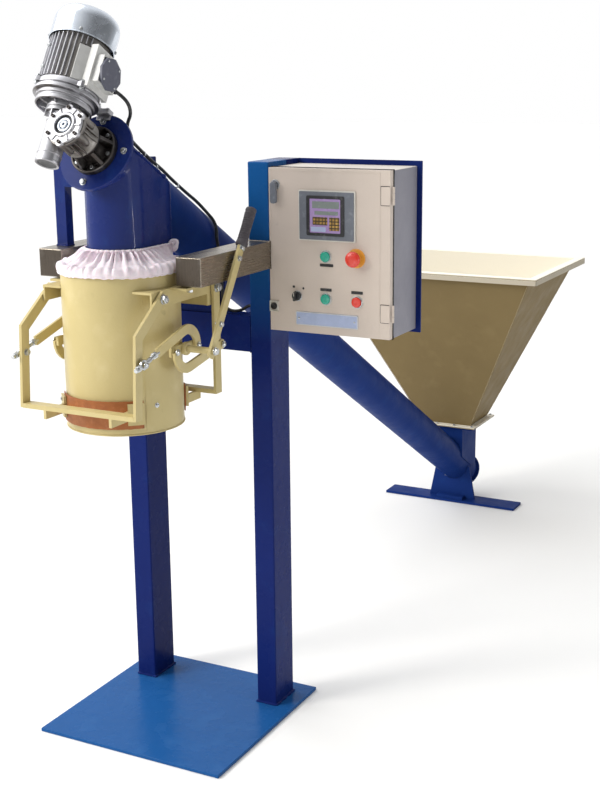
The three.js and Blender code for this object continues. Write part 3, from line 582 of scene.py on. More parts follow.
def gearbox():
    face = 0.1346
    body = Shape(nose).ring(mm(
        "18.6 62.5, 49 62.5, 50 67, 46 73, 44.5 90, 45.5 112, 49 121, 51.5 127, 51.5 134.2, 18.6 134.2"), 64)
    for boss in circle(6, 0.0445, pi / 6):
        body.stack(mm("7 86, 9.5 96, 9.8 134.2"), 20, boss)
    for rib in circle(6, 0, -0.13) + circle(6, 0, 0.13):
        body.box((0.04, -0.0018, 0.065), (0.0508, 0.0018, 0.13), rib)
    body.piece("gearbox_casting", "housing", 0.0012, "gearbox_housing")
    shell = Shape(drive).ring(mm("15 -83.8, 29.2 -83.8, 30 -82, 30 38, 33 42, 40.5 44, 41 54.5, 15 54.5"), 56)
    for rib in circle(8):
        shell.box((0.028, -0.002, 0.03), (0.04, 0.002, 0.045), rib)
    shell.piece("worm_shell", "aluminium", 0.001)
    cover = Shape(nose).ring(mm(
        "24.5 0, 49 0, 49 5.5, 47.5 7.5, 33.5 7.8, 31.5 12.5, 29.5 13.2, 26.2 13.2, 24.5 11.5", face), 64)
    for lug, web in zip(circle(6, 0.046, pi / 6), circle(6)):
        cover.stack(mm("10.8 0, 10.8 6.5, 9.5 8", face), 24, lug)
        cover.box((0.03, -0.0022, face), (0.047, 0.0022, face + 0.0105), web)
    cover.piece("gearbox_cover_casting", "aluminium", 0.0009, "gearbox_cover")

    Shape(nose).ring(mm("1 -5, 24.3 -5, 24.3 5, 1 5", face)).piece("output_seal", "black", 0.001)
    cap = Shape(nose).ring(mm("12.5 4, 18.8 4, 18.8 8.5, 17.5 10, 13.8 10, 12.5 8.5", face))
    cap.ring(mm("3.5 4, 10 4, 10 10.5, 8.5 12, 4.5 12, 3.5 10", face), 40)
    cap.piece("bearing_cap", "cover", 0.0004)
    Shape(nose).bolts(circle(6, 0.046, pi / 6, face + 0.008), 0.0062, False, "socket").piece(
        "cover_screws", "cast")
    Shape(drive).ring(mm("24.5 -87.5, 30.2 -87.5, 31 -85.5, 31 -80, 29 -78.5, 24.5 -80")).piece(
        "worm_end_ring", "aluminium", 0.0006)
    Shape(drive).stack(mm("24.4 -80, 24.4 -85.8, 22 -86.6, 14 -85, 4 -85"), 40).piece(
        "worm_end_seal", "black")
    ribs = Shape(drive)
    for z in (-0.066, 0.02):
        ribs.ring(mm("29.5 0, 31.4 1, 31.4 4, 29.5 5", z), 40)
    ribs.piece("gearbox_ribs", "aluminium", 0.0005)
    Shape(nose).bolts([outward(0.05, a, 0.098) for a in (2.35, 3.75)], 0.0065).piece(
        "oil_plugs", "zinc", 0.0004)


def motor():
    foot, low, high = 0.084, 0.114, 0.2325
    ears = pi / 4 + 0.25
    Shape(drive).ring(mm("61.8 113, 72 113, 72 232.5, 74 232.5, 74 240, 61.8 240"), 72).piece(
        "motor_core", "housing", 0.0007, "motor_body")
    pads = Shape(drive)
    for angle, wide, top in ((-0.69, 0.019, high - 0.026), (-2.75, 0.009, high - 0.006)):
        pads.box((0.0725, -wide, low + 0.001), (0.08, wide, top), turned(angle))
    pads.piece("motor_pads", "pale", 0.001)
    fins = Shape(drive)
    count, terminal_box, pad = 38, 0.46, 0.92
    for i in range(count):
        angle = 2 * pi * (i + 0.5) / count
        aside = atan2(sin(angle), cos(angle))
        if abs(aside) >= terminal_box:
            start = high - 0.022 if -pad < aside < 0 else low + 0.002
            fins.prism(mm("71.2 -2.1, 79.7 -1.2, 79.7 1.2, 71.2 2.1"), start, high, turned(angle))
    fins.ring(mm(
        "14 0, 80 0, 83.5 1.5, 83.5 9, 80.5 10.5, 77.5 13, 81.5 15.5, 81.5 25, 78 30, 14 30", foot), 72)
    for ear in circle(4, 0, ears):
        fins.prism(mm("76 -13, 84.5 -10, 90.5 -5, 90.5 5, 84.5 10, 76 13"), foot + 0.015, foot + 0.027, ear)
    fins.piece("motor_fins", "aluminium", 0.0006)

    bolts = Shape(drive).bolts(circle(4, 0.0838, ears, foot + 0.027), 0.007)
    bolts.bolts([spot @ turned(pi, "X") for spot in circle(4, 0.0838, ears, foot + 0.015)], 0.007)
    for z in (0.142, 0.2):
        bolts.stack(mm("5.5 -4, 5.5 2, 3 4.5"), 16, outward(0.0795, -2.1, z))
    bolts.piece("motor_bolts", "zinc")

    bell = Shape(drive).ring(mm(
        "20 55.3, 39.5 55.3, 41 58.5, 43 72, 62 74, 65 61, 67.5 59.2, 71.2 60.5, 71.5 69, 69.2 70.5,"
        "69.2 73.5, 74 75.5, 74 83.6, 20 83.6"), 72)
    for rib in circle(8, 0, 0.2):
        bell.prism(mm("40 58, 64 64, 64 76, 40 76"), -0.002, 0.002, rib @ UPRIGHT)
    bell.piece("adapter_bell", "aluminium", 0.0008, "motor_adapter")

    curve = [(0.0838 - 0.02 * (1 - cos(t)), 0.286 + 0.0305 * sin(t))
             for t in [k * pi / 16 for k in range(1, 9)]]
    Shape(drive).ring(mm("82.2 233.2, 84.2 233.2, 84.2 235.2, 83.2 236.2, 83.8 286") + curve + mm(
        "52 317.2, 50 318.2, 24 318.2, 24 316.2, 63.8 314.5, 77.5 299, 81.8 285"), 80).piece(
        "fan_hood", "cover", 0.0004, "fan_cover")
    grille = Shape(drive)
    for k in range(3):
        r = 0.006 + k * 0.0075
        grille.ring([(r, 0.3158), (r + 0.0022, 0.3158), (r + 0.0022, 0.3178), (r, 0.3178)])
        grille.box((-0.0245, -0.0012, 0.316), (0.0245, 0.0012, 0.3176), turned(k * pi / 3))
    grille.piece("fan_grille", "cover")
    spots = [outward(0.0836, k * pi / 2 + 0.55, 0.243) for k in range(4)]
    Shape(drive).bolts(spots, 0.0045, True, "dome").piece("hood_screws", "zinc")

    Shape().stack(mm("8.5 0, 8.5 8, 7.5 9, 6.5 16, 4.6 20"), 16, towards(
        screw @ Vector((0.05, -0.0676, 0.138)) - down * 0.0008, down)).piece("cable_gland", "black", 0.0006)
    side = moved(0.116, 0, 0.156) @ turned(pi / 2, "Y")
    Shape(drive).bolts([side @ spot for spot in circle(4, 0.034, pi / 4)], 0.0036, False, "dome").piece(
        "lid_screws", "zinc")


def cable():
    # millimetres: first across, along and above the screw's axis, then in the row frame inside the post
    held = [(50, -67, 138), (51, -60, 138), (64, -46, 133), (78, -30, 122), (80, -14, 109), (70, 4, 102),
            (61, 13, 96), (53, 24, 88), (45, 45, 77), (38, 75, 73), (34, 110, 73), (31, 150, 74),
            (30, 200, 74), (29, 245, 72), (28, 300, 70), (28, 390, 70), (35, 440, 68), (52, 482, 56),
            (64, 500, 45), (73, 512, 25), (78, 517, -5)]
    into_post = [(84, 145, 1350), (85, 145, 1290), (86, 146, 1240), (93, 150, 1209), (108, 154, 1199),
                 (130, 158, 1199), (148, 160, 1206), (160, 160, 1215), (172, 160, 1217), (184, 160, 1217)]
    radius = 0.0045
    points = [screw @ (Vector(p) / 1000 + Z * (radius if 245 <= p[1] <= 440 else 0)) for p in held]
    points += [Vector(p) / 1000 for p in into_post]
    curve = bpy.data.curves.new("motor_lead", "CURVE")
    curve.dimensions = "3D"
    curve.bevel_depth = radius
    curve.bevel_resolution = 4
    curve.resolution_u = 6
    spline = curve.splines.new("NURBS")
    spline.points.add(len(points) - 1)
    for point, place in zip(spline.points, points):
        point.co = (*place, 1)
    spline.order_u = 3
    spline.use_endpoint_u = True
    curve.materials.append(LOOKS["black"])
    lead = on_scene("motor_lead", curve)
    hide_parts("motor_cable")
    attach(lead, "station")

    clips = Shape(screw)
    for y, tube_radius in ((0.15, 0.0738), (0.215, 0.07), (0.33, 0.07)):
        foot = sqrt(tube_radius ** 2 - 0.03 ** 2) + 0.0005
        hoop = [(0.03 + 0.008 * cos(a), foot + 0.0125 * sin(a))
                for a in [k * pi / 10 for k in range(11)]]
        clips.prism(hoop + [(0.0365, foot), (0.0235, foot)], -0.003, 0.003, moved(0, y, 0) @ UPRIGHT)
    clips.piece("cable_clips", "zinc")


# ---- drum, cover and clamp
drum_low, drum_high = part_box("drum")
drum_axis = Vector((0, (drum_low.y + drum_high.y) / 2, 0))
drum_radius = (drum_high.y - drum_low.y) / 2


def dust_cover():
    rim = drum_high.z
    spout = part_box("discharge_head")[1]
    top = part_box("dust_cover")[1].z - rim
    around, rows = 360, 34
    neck_end, slope_end, gathers = 0.10, 0.56, 44

    def drift(a, k, seed):
        return noise.noise(at_angle(a, k, seed))

    def spout_edge(a, gap):
        """The point a gap outside the spout's U-shaped outline, on a ray from the drum's axis."""
        side = reach = spout.x + gap
        if sin(a) > 0:
            reach = min(side / max(abs(cos(a)), 1e-6),
                        (spout.y + gap - drum_axis.y) / max(sin(a), 1e-6))
        return drum_axis + at_angle(a, reach)

    def point(a, v):
        """The cloth at an angle about the drum, from v = 0 at the spout to 1 under the drum's rim."""
        n1, n2 = drift(a, 3, 0.3), drift(a, 9, 2.0)
        neck = spout_edge(a, 0.004)
        push = 0.0
        gather = sin(a * gathers + 6 * n1 + 2.4 * n2)
        gather = copysign(abs(gather) ** 0.7, gather)
        if v < neck_end:
            t = v / neck_end
            p, z, push = neck, top - 0.001 - 0.01 * t, 0.001 + 0.0025 * sin(t * pi)
            depth = 0.0012 + 0.0022 * t
        elif v < slope_end:
            t = (v - neck_end) / (slope_end - neck_end)
            p = neck.lerp(drum_axis + at_angle(a, drum_radius - 0.0092), t ** 1.15)
            z = 0.02 + (top - 0.031) * (1 - t) ** 1.25 + 0.004 * sin(pi * t)
            swell = 0.0085 * sin(pi * min(t * 1.25 + 0.12, 1)) ** 1.2
            depth = (0.0034 + swell * (0.8 + 0.6 * n2)) * (1 - 0.75 * t)
        else:
            t = (v - slope_end) / (1 - slope_end)
            roll = radians(115 - 158 * t)
            p = drum_axis + at_angle(a, drum_radius - 0.004 + (0.0122 + 0.002 * n1) * cos(roll))
            z = 0.0064 + 0.015 * sin(roll)
            depth = 0.0011 + 0.0012 * sin(pi * t) * (1 + n2)
        sag = 0.0036 * sin(a * 7 + n1 * 9 + v * 3) * sin(pi * min(v * 1.05, 1)) ** 1.5
        sag += 0.0018 * n1 * v
        p = p + (p - drum_axis).normalized() * (push + 0.55 * depth * gather + 0.001 * n2 * v)
        keep = spout_edge(a, 0.0018)
        if (p - drum_axis).length < (keep - drum_axis).length:
            p = keep
        return Vector((p.x, p.y, rim + z + depth * gather * (0.3 if v < neck_end else 0.9) + sag))

    def row(v):
        return [point(2 * pi * i / around, v) for i in range(around)]

    faces = []
    for j in range(rows):
        for i in range(around):
            k = (i + 1) % around
            faces.append((j * around + i, j * around + k, (j + 1) * around + k, (j + 1) * around + i))
    cover = Shape().add([p for j in range(rows + 1) for p in row(j / rows)], faces).piece(
        "cloth_dust_cover", "cloth", 0, "dust_cover")
    skin = cover.modifiers.new("cloth", "SOLIDIFY")
    skin.thickness = 0.0012
    skin.offset = 0

    hems = Shape().tube(row(0.995), 0.0024, 8, 0.5, 1.0, True).tube(row(0.03), 0.0024, 8, 0.9, 2.0, True)
    knot = Vector((0.098, -0.118, rim + 0.052))
    hems.tube([knot + Vector((0.01 * cos(a), 0.004 * sin(2 * a), 0.013 * sin(a)))
               for a in [2 * pi * k / 24 for k in range(24)]], 0.0042, 8, 0.8, 3.0, True)
    hems.piece("cover_hems", "cloth")


def straps():
    columns, rows = 64, 12
    inner, outer = 0.1577, 0.1614
    for end, sign, reach, clamp in (("front", -1, 0.9, 0.77), ("rear", 1, 0.88, 0.75)):
        low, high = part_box(f"{end}_strap")
        points, faces = [], []
        for j in range(rows + 1):
            w = j / rows
            bow = 0.0006 * cos((w - 0.5) * 2 * pi)
            for i in range(columns + 1):
                a = sign * pi / 2 + (i / columns * 2 - 1) * reach
                wave = 0.0006 * noise.noise(Vector((a * 9, w * 3, sign)))
                z = low.z + (high.z - low.z) * w + 0.001 * noise.noise(Vector((a * 14, 5, sign * 2)))
                points += [drum_axis + at_angle(a, r, z) for r in (inner, outer + bow + wave)]
        width = (columns + 1) * 2
        for j in range(rows):
            for i in range(columns):
                a = j * width + i * 2
                faces += [(a, a + 2, a + width + 2, a + width), (a + 1, a + width + 1, a + width + 3, a + 3)]
            for i in (0, columns):
                a = j * width + i * 2
                faces.append((a, a + 1, a + width + 1, a + width))
        for i in range(columns):
            for a in (i * 2, rows * width + i * 2):
                faces.append((a, a + 2, a + 3, a + 1))
        Shape().add(points, faces).piece(f"{end}_rubber", "rubber", 0.0009, f"{end}_strap", f"yoke_{end}")
        outs = [at_angle(sign * pi / 2 + side * clamp) for side in (-1, 1)]
        Shape().bolts([towards(drum_axis + out * 0.169 + Z * z, out) for out in outs for z in (1.006, 1.03)],
                      0.0055, True, "dome").piece(f"{end}_strap_bolts", "zinc", body=f"yoke_{end}")


def bar_outline(points, width):
    """The outline of a flat bar of one width that follows the points."""
    sides = ([], [])
    for i, p in enumerate(points):
        before = (p - points[i - 1]).normalized() if i else None
        after = (points[i + 1] - p).normalized() if i < len(points) - 1 else None
        along = ((before + after) if before and after else (before or after)).normalized()
        normal = Vector((-along.y, along.x))
        lean = normal.dot(Vector((-before.y, before.x))) if before and after else 1
        for sign, side in zip((1, -1), sides):
            side.append(p + normal * (sign * width / 2 / lean))
    return sides[0] + sides[1][::-1]


# local x, y become Y, Z, and local z becomes X
FLAT = Matrix(((0, 0, 1, 0), (1, 0, 0, 0), (0, 1, 0, 0), (0, 0, 0, 1)))
CRANK_REACH = 0.051


def front_links():
    """The hooked front links: a forged bar with a threaded end and a fork at the yoke."""
    pin, hub = front_pin.yz, crank.yz
    apart = pin - hub
    start = (atan2(apart.y, apart.x) - acos(CRANK_REACH / apart.length)) % (2 * pi)
    hook = [hub + at_angle(start * (1 - k / 12), CRANK_REACH).xy for k in range(13)]
    along = (hook[0] - pin).normalized()
    bar = bar_outline([pin + along * 0.062] + hook, 0.026)
    for side, x in (("left", -0.194), ("right", 0.186)):
        body = f"link_front_{side}"
        Shape().prism(bar, x, x + 0.008, FLAT).piece(
            f"front_link_bar_{side}", "cream", 0.0012, f"front_link_{side}", body)
        at = (x + 0.004, pin.x, pin.y)
        rod = towards(at, (0, along.x, along.y), X)
        fork = Shape().ring(mm("6.4 -4, 12.5 -4, 13.5 -2.8, 13.5 2.8, 12.5 4, 6.4 4"), 32, towards(at, X))
        for k in range(12):
            fork.ring(mm("5 0, 5.8 .5, 5 1", 0.033 + k * 0.0016), 18, rod)
        for profile, sides in (("6.8 12, 6.8 30, 5.2 32, 5.2 70", 18), ("9.5 48, 9.5 56", 6),
                               ("5.4 -36, 5.8 -35, 5.8 -12", 18), ("8.8 -26, 8.8 -19", 6)):
            fork.stack(mm(profile), sides, rod)
        fork.piece(f"front_link_fork_{side}", "zinc", 0.0004, body=body)


def clamp_details():
    for end, pin in (("front", front_pin), ("rear", rear_pin)):
        pivot = at_joint(f"{end}_yoke_swing")
        caps, nuts = Shape(), Shape()
        for sign in (-1, 1):
            caps.bolt(towards((sign * 0.1982, pin.y, pin.z), X * sign), 0.0085, True, "dome")
            caps.bolt(towards((sign * 0.1722, pin.y, pin.z), -X * sign), 0.009)
            spot = towards((sign * 0.1808, pivot.y, pivot.z), X * sign)
            nuts.bolt(spot, 0.0125).stack(mm("6.2 9, 6.2 13, 5 14.2"), 18, spot)
        caps.piece(f"{end}_link_nuts", "zinc", 0.0004, body=f"yoke_{end}")
        nuts.piece(f"{end}_pivot_nuts", "zinc", 0.0005)

    for side, sign, body, tip in (("left", -1, "crank_left", 0.2002), ("right", 1, "lever", 0.275)):
        def spot(x, y=0.0):
            return towards((sign * x, crank.y + y, crank.z), X * sign)
        Shape().ring(mm("9.3 0, 17.5 0, 17.5 8, 15.5 11.5, 9.3 11.5"), 32, spot(0.1832)).piece(
            f"crank_hub_{side}", "cream", 0.0008, body=body)
        caps = Shape().bolts([spot(0.1947, y) for y in (-CRANK_REACH, CRANK_REACH)], 0.0085, True, "dome")
        caps.bolt(spot(tip), 0.01).piece(f"crank_pin_caps_{side}", "zinc", body=body)

    trim = Shape().tube([drum_axis + at_angle(2 * pi * k / 96, drum_radius, drum_low.z + 0.002)
                         for k in range(96)], 0.0022, 8, 0.05, 0, True)
    weld = drum_axis + at_angle(-0.62, drum_radius + 0.0002, drum_low.z)
    trim.tube(straight(weld + Z * 0.01, weld + Z * 0.354, 44), 0.0007, 6, 0.5).piece("drum_trim", "cream")
    Shape().bolts([towards(drum_axis + at_angle(a, drum_radius, drum_low.z + 0.074), at_angle(a))
                   for a in (-0.42, 0.42 + pi)], 0.006, True, "dome").piece("drum_screws", "zinc")

    for side, sign in (("left", -1), ("right", 1)):
        low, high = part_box(f"{side}_beam")
        wall = 0.0022
        # painted shade: a dark plate over each beam's shaded end
        end = Shape().box((low.x + wall, low.y - 0.0006, low.z + wall),
                          (high.x - wall, low.y + 0.002, high.z - wall))
        end.piece(f"{side}_beam_end", "stainless_shaded_end", 0.0006)
        corners = [Vector((x, high.y - 0.001, z)) for x, z in (
            (low.x, low.z), (low.x, high.z), (high.x, high.z), (high.x, low.z))]
        Shape().tube(corners, 0.0022, 8, 0.2, 0, True).piece(f"{side}_beam_weld", "stainless")
        nuts = Shape().bolts([moved(sign * 0.205, y, 1.328) for y in (-0.208, -0.172)], 0.007)
        nuts.bolt(towards((sign * 0.2, -0.205, 1.3218), -Z), 0.01).piece(f"{side}_stud_nuts", "zinc", 0.0004)


def lever():
    low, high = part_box("lever_arm")
    lean = radians(32.5)
    aim = Vector((0, sin(lean), cos(lean)))
    base = Vector(((low.x + high.x) / 2, crank.y, crank.z))
    rod = towards(base, aim, X)
    start, end, grooves = 0.298, 0.408, 13
    profile = mm("6.3 0, 14.5 0, 16.5 3, 16.5 9", start)
    for k in range(grooves):
        z, r = start + 0.012 + k * 0.0065, 0.015 - 0.001 * sin(pi * k / grooves)
        profile += [(r, z), (r, z + 0.004), (r - 0.0014, z + 0.005), (r - 0.0014, z + 0.0058)]
    profile += mm("15.2 -8, 13.5 -2, 9.5 0, 2 0, 2 -13, 6.3 -13", end)
    Shape().ring(profile, 40, rod).piece("ribbed_grip", "grip", 0.0004, "lever_grip", "lever")
    collar = Shape().ring(mm("6.4 -12, 11.2 -12, 12 -10, 12 -2, 11.2 -.5, 6.4 -.5", start), 32, rod)
    for s in (0.075, 0.262):
        collar.bolts([towards(base + aim * s + out * 0.0041, out) for out in (X, -X)], 0.0075)
    collar.piece("lever_fittings", "zinc", 0.0005, body="lever")


# ---- cabinet
door_low, door_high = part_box("cabinet_door")


def on_door(x, z):
    """A frame on the door's face, its +Z pointing out of it, towards -Y."""
    return moved(x, door_low.y, z) @ UPRIGHT


def at_node(node):
    low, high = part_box(node)
    return on_door((low.x + high.x) / 2, (low.z + high.z) / 2)


def round_rect(x0, x1, y0, y1, r, steps=4):
    corners = [(x1 - r, y1 - r, 0), (x0 + r, y1 - r, 1), (x0 + r, y0 + r, 2), (x1 - r, y0 + r, 3)]
    return [(cx + r * cos((q + k / steps) * pi / 2), cy + r * sin((q + k / steps) * pi / 2))
            for cx, cy, q in corners for k in range(steps + 1)]


def bars(x0, x1, y0, y1, wide):
    """The four bars of a rectangular border, each from x, y to x, y."""
    return ((x0, y0, x0 + wide, y1), (x1 - wide, y0, x1, y1), (x0, y1 - wide, x1, y1),
            (x0, y0, x1, y0 + wide))


def controller():
    low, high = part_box("controller")
    w, h = high.x - low.x, high.z - low.z
    # left, right, bottom and top edges as shares of the front, back and front face, corner radius, bevel
    for name, look, (x0, x1, y0, y1), back, front, corner, bevel in (
            ("controller_rim", "white", (-0.008, 1.008, -0.01, 1.01), -0.0056, -0.001, 0.003, 0.0006),
            ("controller_bezel", "bezel", (0.012, 0.988, 0.016, 0.984), -0.003, 0.0012, 0.002, 0.0006),
            ("controller_frame", "black", (0.145, 0.825, 0.1, 0.905), 0.0008, 0.0036, 0.004, 0.0012),
            ("controller_film", "screen", (0.212, 0.76, 0.163, 0.843), 0.003, 0.0041, 0.002, 0.0003),
            ("display_upper", "lcd", (0.258, 0.74, 0.655, 0.795), 0.0036, 0.0047, 0.001, 0.0003),
            ("display_lower", "lcd", (0.3, 0.722, 0.525, 0.6), 0.0036, 0.0046, 0.001, 0.0003),
            ("keys_left", "keys", (0.265, 0.53, 0.32, 0.48), 0.0036, 0.0048, 0.001, 0.0003),
            ("keys_right", "keys", (0.565, 0.745, 0.215, 0.48), 0.0036, 0.0048, 0.001, 0.0003),
            ("film_strip", "plate_label", (0.232, 0.5, 0.185, 0.28), 0.0036, 0.0044, 0.001, 0.0003)):
        outline = round_rect(x0 * w, x1 * w, y0 * h, y1 * h, corner)
        stands_for = "controller" if name == "controller_rim" else None
        Shape(moved(*low) @ UPRIGHT).prism(outline, back, front).piece(name, look, bevel, stands_for, "door")
    inset = 0.014
    case = Shape().box((low.x + inset, low.y + inset / 2, low.z + inset),
                       (high.x - inset, high.y, high.z - inset))
    for k in range(6):
        z = low.z + 0.03 + k * 0.014
        case.box((low.x + 0.03, high.y - 0.001, z), (high.x - 0.03, high.y + 0.0006, z + 0.006))
    case.piece("controller_case", "black", 0.002, body="door")


def push_button(name, look):
    node = f"{name}_button"
    put = at_node(node)
    reach = door_low.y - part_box(node)[0].y
    Shape(put).stack(mm("10.8 -11, 10.8 3.6, 14 3.8") + mm("14 -2.4, 13 -.8, 10 .2, 4 -.6, .8 -.8", reach),
                     40).piece(f"{name}_lens", look, 0, node, name)
    Shape(put).ring(mm("14.4 .2, 17 .2, 17 2.8, 16.2 4.2, 14.8 4.6, 14.4 4")).piece(
        f"{name}_ring", "zinc", 0.0004, body="door")
    Shape(put).ring(mm("14.4 0, 18.4 0, 18 1.2, 14.4 1.2")).piece(f"{name}_washer", "white", body="door")


def emergency_stop():
    put = at_node("e_stop_button")
    reach = door_low.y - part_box("e_stop_button")[0].y
    side = mm("9.8 -11.5, 9.8 14.5, 16.5 16.2, 20 19, 21.6 22.8, 21.2 26.5, 19 30.2, 15 32.5")
    mushroom = Shape(put).stack(side + mm("9 -.6, 1 0", reach), 56)
    arrow = mm("12 -1.2, 17.2 -1.2, 17.2 -3, 19.2 0, 17.2 3, 17.2 1.2, 12 1.2")
    for spot in circle(3, 0, 0.4):
        mushroom.prism(arrow, 0.0262, 0.031, spot)
    mushroom.piece("e_stop_mushroom", "red", 0.0005, "e_stop_button", "e_stop")
    disc = Shape(put).ring(mm("10.5 .2, 26.2 .2, 26.2 1.4, 25.4 2.2, 10.5 2.2"), 64)
    disc.ring(mm("10.5 2, 14.5 2, 14 7.5, 10.5 8.5")).piece("e_stop_disc", "yellow", 0.0003, body="door")


def door_controls():
    push_button("start", "green")
    push_button("tare", "green")
    push_button("stop", "red")
    emergency_stop()
    for name, x, z, w, h in (("start_label", 0.425, 1.3505, 0.04, 0.008),
                             ("tare_label", 0.423, 1.2835, 0.034, 0.008),
                             ("stop_label", 0.516, 1.2815, 0.034, 0.008),
                             ("selector_mark_left", 0.3245, 1.286, 0.007, 0.006),
                             ("selector_mark_right", 0.354, 1.283, 0.005, 0.006)):
        Shape(on_door(x, z)).prism(round_rect(-w / 2, w / 2, -h / 2, h / 2, 0.0015), -0.0002, 0.0011).piece(
            name, "black", 0.0003, body="door")

    put = at_node("selector_knob")
    knob = Shape(put).stack(mm("7.8 -11.5, 7.8 3, 12.5 3.5, 12.8 9, 11.5 10.5, 2 11"), 40)
    knob.prism(round_rect(-0.012, 0.012, -0.0036, 0.0036, 0.003), 0.01, 0.0218, turned(pi / 2))
    knob.piece("selector_grip", "black", 0.0007, "selector_knob", "selector")
    Shape(put).box((-0.0009, 0.002, 0.0214), (0.0009, 0.0112, 0.0223)).piece(
        "selector_line", "white", body="selector")
    Shape(put).ring(mm("8.4 .2, 14.8 .2, 14.8 1.8, 13.8 2.6, 8.4 2.6")).piece(
        "selector_ring", "zinc", 0.0003, body="door")

    low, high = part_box("door_handle")
    put = on_door((low.x + high.x) / 2, 1.562)
    handle = Shape(put).stack(mm("5.8 -13.5, 5.8 4, 8.8 4.2, 8.8 16.5, 7.8 17.8, 1.5 18"))
    handle.prism(round_rect(-0.0088, 0.0088, -0.0495, 0.008, 0.006, 6), 0.0065, 0.0172)
    handle.piece("door_lever", "bezel", 0.0022, "door_handle", "handle")
    Shape(put).ring(mm("6.4 .2, 14.5 .2, 14 3.2, 6.4 3.6"), 40).piece(
        "door_lever_boss", "zinc", 0.0004, body="door")

    put = at_node("key_lock")
    lock = Shape(put).ring(mm("1.2 -13.5, 6.8 -13.5, 6.8 .3, 9.8 .4, 9.4 4, 5.5 4.2, 5 2, 1.2 2"), 32)
    lock.box((-0.001, -0.005, 0.0018), (0.001, 0.005, 0.0036))
    lock.piece("lock_barrel", "black", 0.0003, "key_lock", "lock")
    Shape(put).prism(round_rect(-0.0125, 0.014, -0.015, 0.015, 0.002), -0.0003, 0.0004).piece(
        "lock_plate", "white", 0.0002, body="door")
    surround = Shape(put)
    for x0, y0, x1, y1 in bars(-0.0125, 0.014, -0.015, 0.015, 0.002):
        surround.box((x0, y0, 0), (x1, y1, 0.0035))
    surround.piece("lock_frame", "white", 0.0004, body="door")


def door_fittings():
    put = on_door(0.4245, 1.2)
    Shape(put).prism(round_rect(-0.0945, 0.0945, -0.019, 0.019, 0.003), -0.0002, 0.0012).piece(
        "blank_plate", "plate_label", 0.0003, body="door")
    border = Shape(put)
    for y in (-0.0175, 0.0175):
        border.box((-0.093, y - 0.0008, 0.001), (0.093, y + 0.0008, 0.0017))
    for x in (-0.093, 0.093):
        border.box((x - 0.0008, -0.0175, 0.001), (x + 0.0008, 0.0175, 0.0017))
    border.piece("blank_plate_border", "white", body="door")
    Shape(put).bolts([moved(x, 0, 0.0012) for x in (-0.084, 0.084)], 0.0032, False, "dome").piece(
        "blank_plate_screws", "zinc", body="door")

    low, high = door_low, door_high
    folds = Shape()
    for x0, x1, z0 in ((low.x + 0.006, low.x + 0.008, low.z + 0.006),
                       (high.x - 0.03, high.x - 0.029, low.z + 0.006),
                       (low.x + 0.006, high.x - 0.029, high.z - 0.008)):
        folds.box((x0, low.y - 0.0006, z0), (x1, low.y + 0.0012, high.z - 0.006))
    folds.piece("door_fold_lines", "grey", 0.0003, body="door")

    axis = at_joint("door_swing")
    for tag, z0, z1 in (("upper", 1.518, 1.566), ("lower", 1.206, 1.253)):
        put = on_door(0, 0)
        Shape(put).prism(round_rect(high.x - 0.026, high.x + 0.0005, z0, z1, 0.002), 0.0003, 0.003).piece(
            f"{tag}_hinge_leaf", "grey", 0.0006, body="door")
        # painted shadow: a black sheet round each hinge leaf draws the dark shadow line round it
        shadow = round_rect(high.x - 0.0278, high.x - 0.001, z0 - 0.0018, z1 + 0.0018, 0.002)
        Shape(put).prism(shadow, -0.0004, 0.0006).piece(
            f"{tag}_hinge_painted_shadow", "black", 0.0002, body="door")
        knuckle = Shape(moved(axis.x + 0.0042, axis.y - 0.0022, 0))
        for k in range(3):
            a, b = z0 + (z1 - z0) * k / 3 + 0.0004, z0 + (z1 - z0) * (k + 1) / 3 - 0.0004
            knuckle.stack([(0.0032, a), (0.0036, a + 0.0004), (0.0036, b - 0.0004), (0.0032, b)], 20)
        knuckle.piece(f"{tag}_hinge_knuckle", "grey", body="door")


def cabinet_details():
    low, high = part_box("cabinet_body")
    out = 0.002
    # painted shadow: the black gasket stands out round the body's edge and draws the dark shadow gap round
    # the door
    gasket_and_shadow_gap = Shape()
    for x0, z0, x1, z1 in bars(low.x - out, high.x + out, low.z - out, high.z + out, 0.011):
        gasket_and_shadow_gap.box((x0, low.y - 0.0003, z0), (x1, low.y + 0.0032, z1))
    gasket_and_shadow_gap.piece("cabinet_gasket_and_shadow_gap", "black")
    board_low, board_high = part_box("mounting_panel")
    face = board_low.y
    rails, gear = Shape(), Shape()
    for z in (1.26, 1.4, 1.52):
        rails.box((board_low.x + 0.02, face - 0.007, z), (board_high.x - 0.02, face - 0.0003, z + 0.035))
        for k in range(9):
            x = board_low.x + 0.035 + k * 0.028
            deep = 0.038 + 0.012 * ((k * 7 + int(z * 100)) % 3)
            gear.box((x, face - deep, z - 0.022), (x + 0.024, face - 0.0072, z + 0.056))
    rails.piece("mounting_rails", "zinc", 0.001)
    gear.piece("switchgear", "white", 0.0015)
    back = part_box("cabinet_back_plate")[1].y
    bolts = Shape().bolts([towards((x, back, z), (0, 1, 0)) for z in (1.2, 1.57)
                           for x in (low.x + 0.06, high.x - 0.06)], 0.008)
    bolts.bolts([towards((x, 0.23, low.z), -Z) for x in (0.3, 0.56)], 0.012)
    bolts.piece("cabinet_bolts", "zinc", 0.0004)


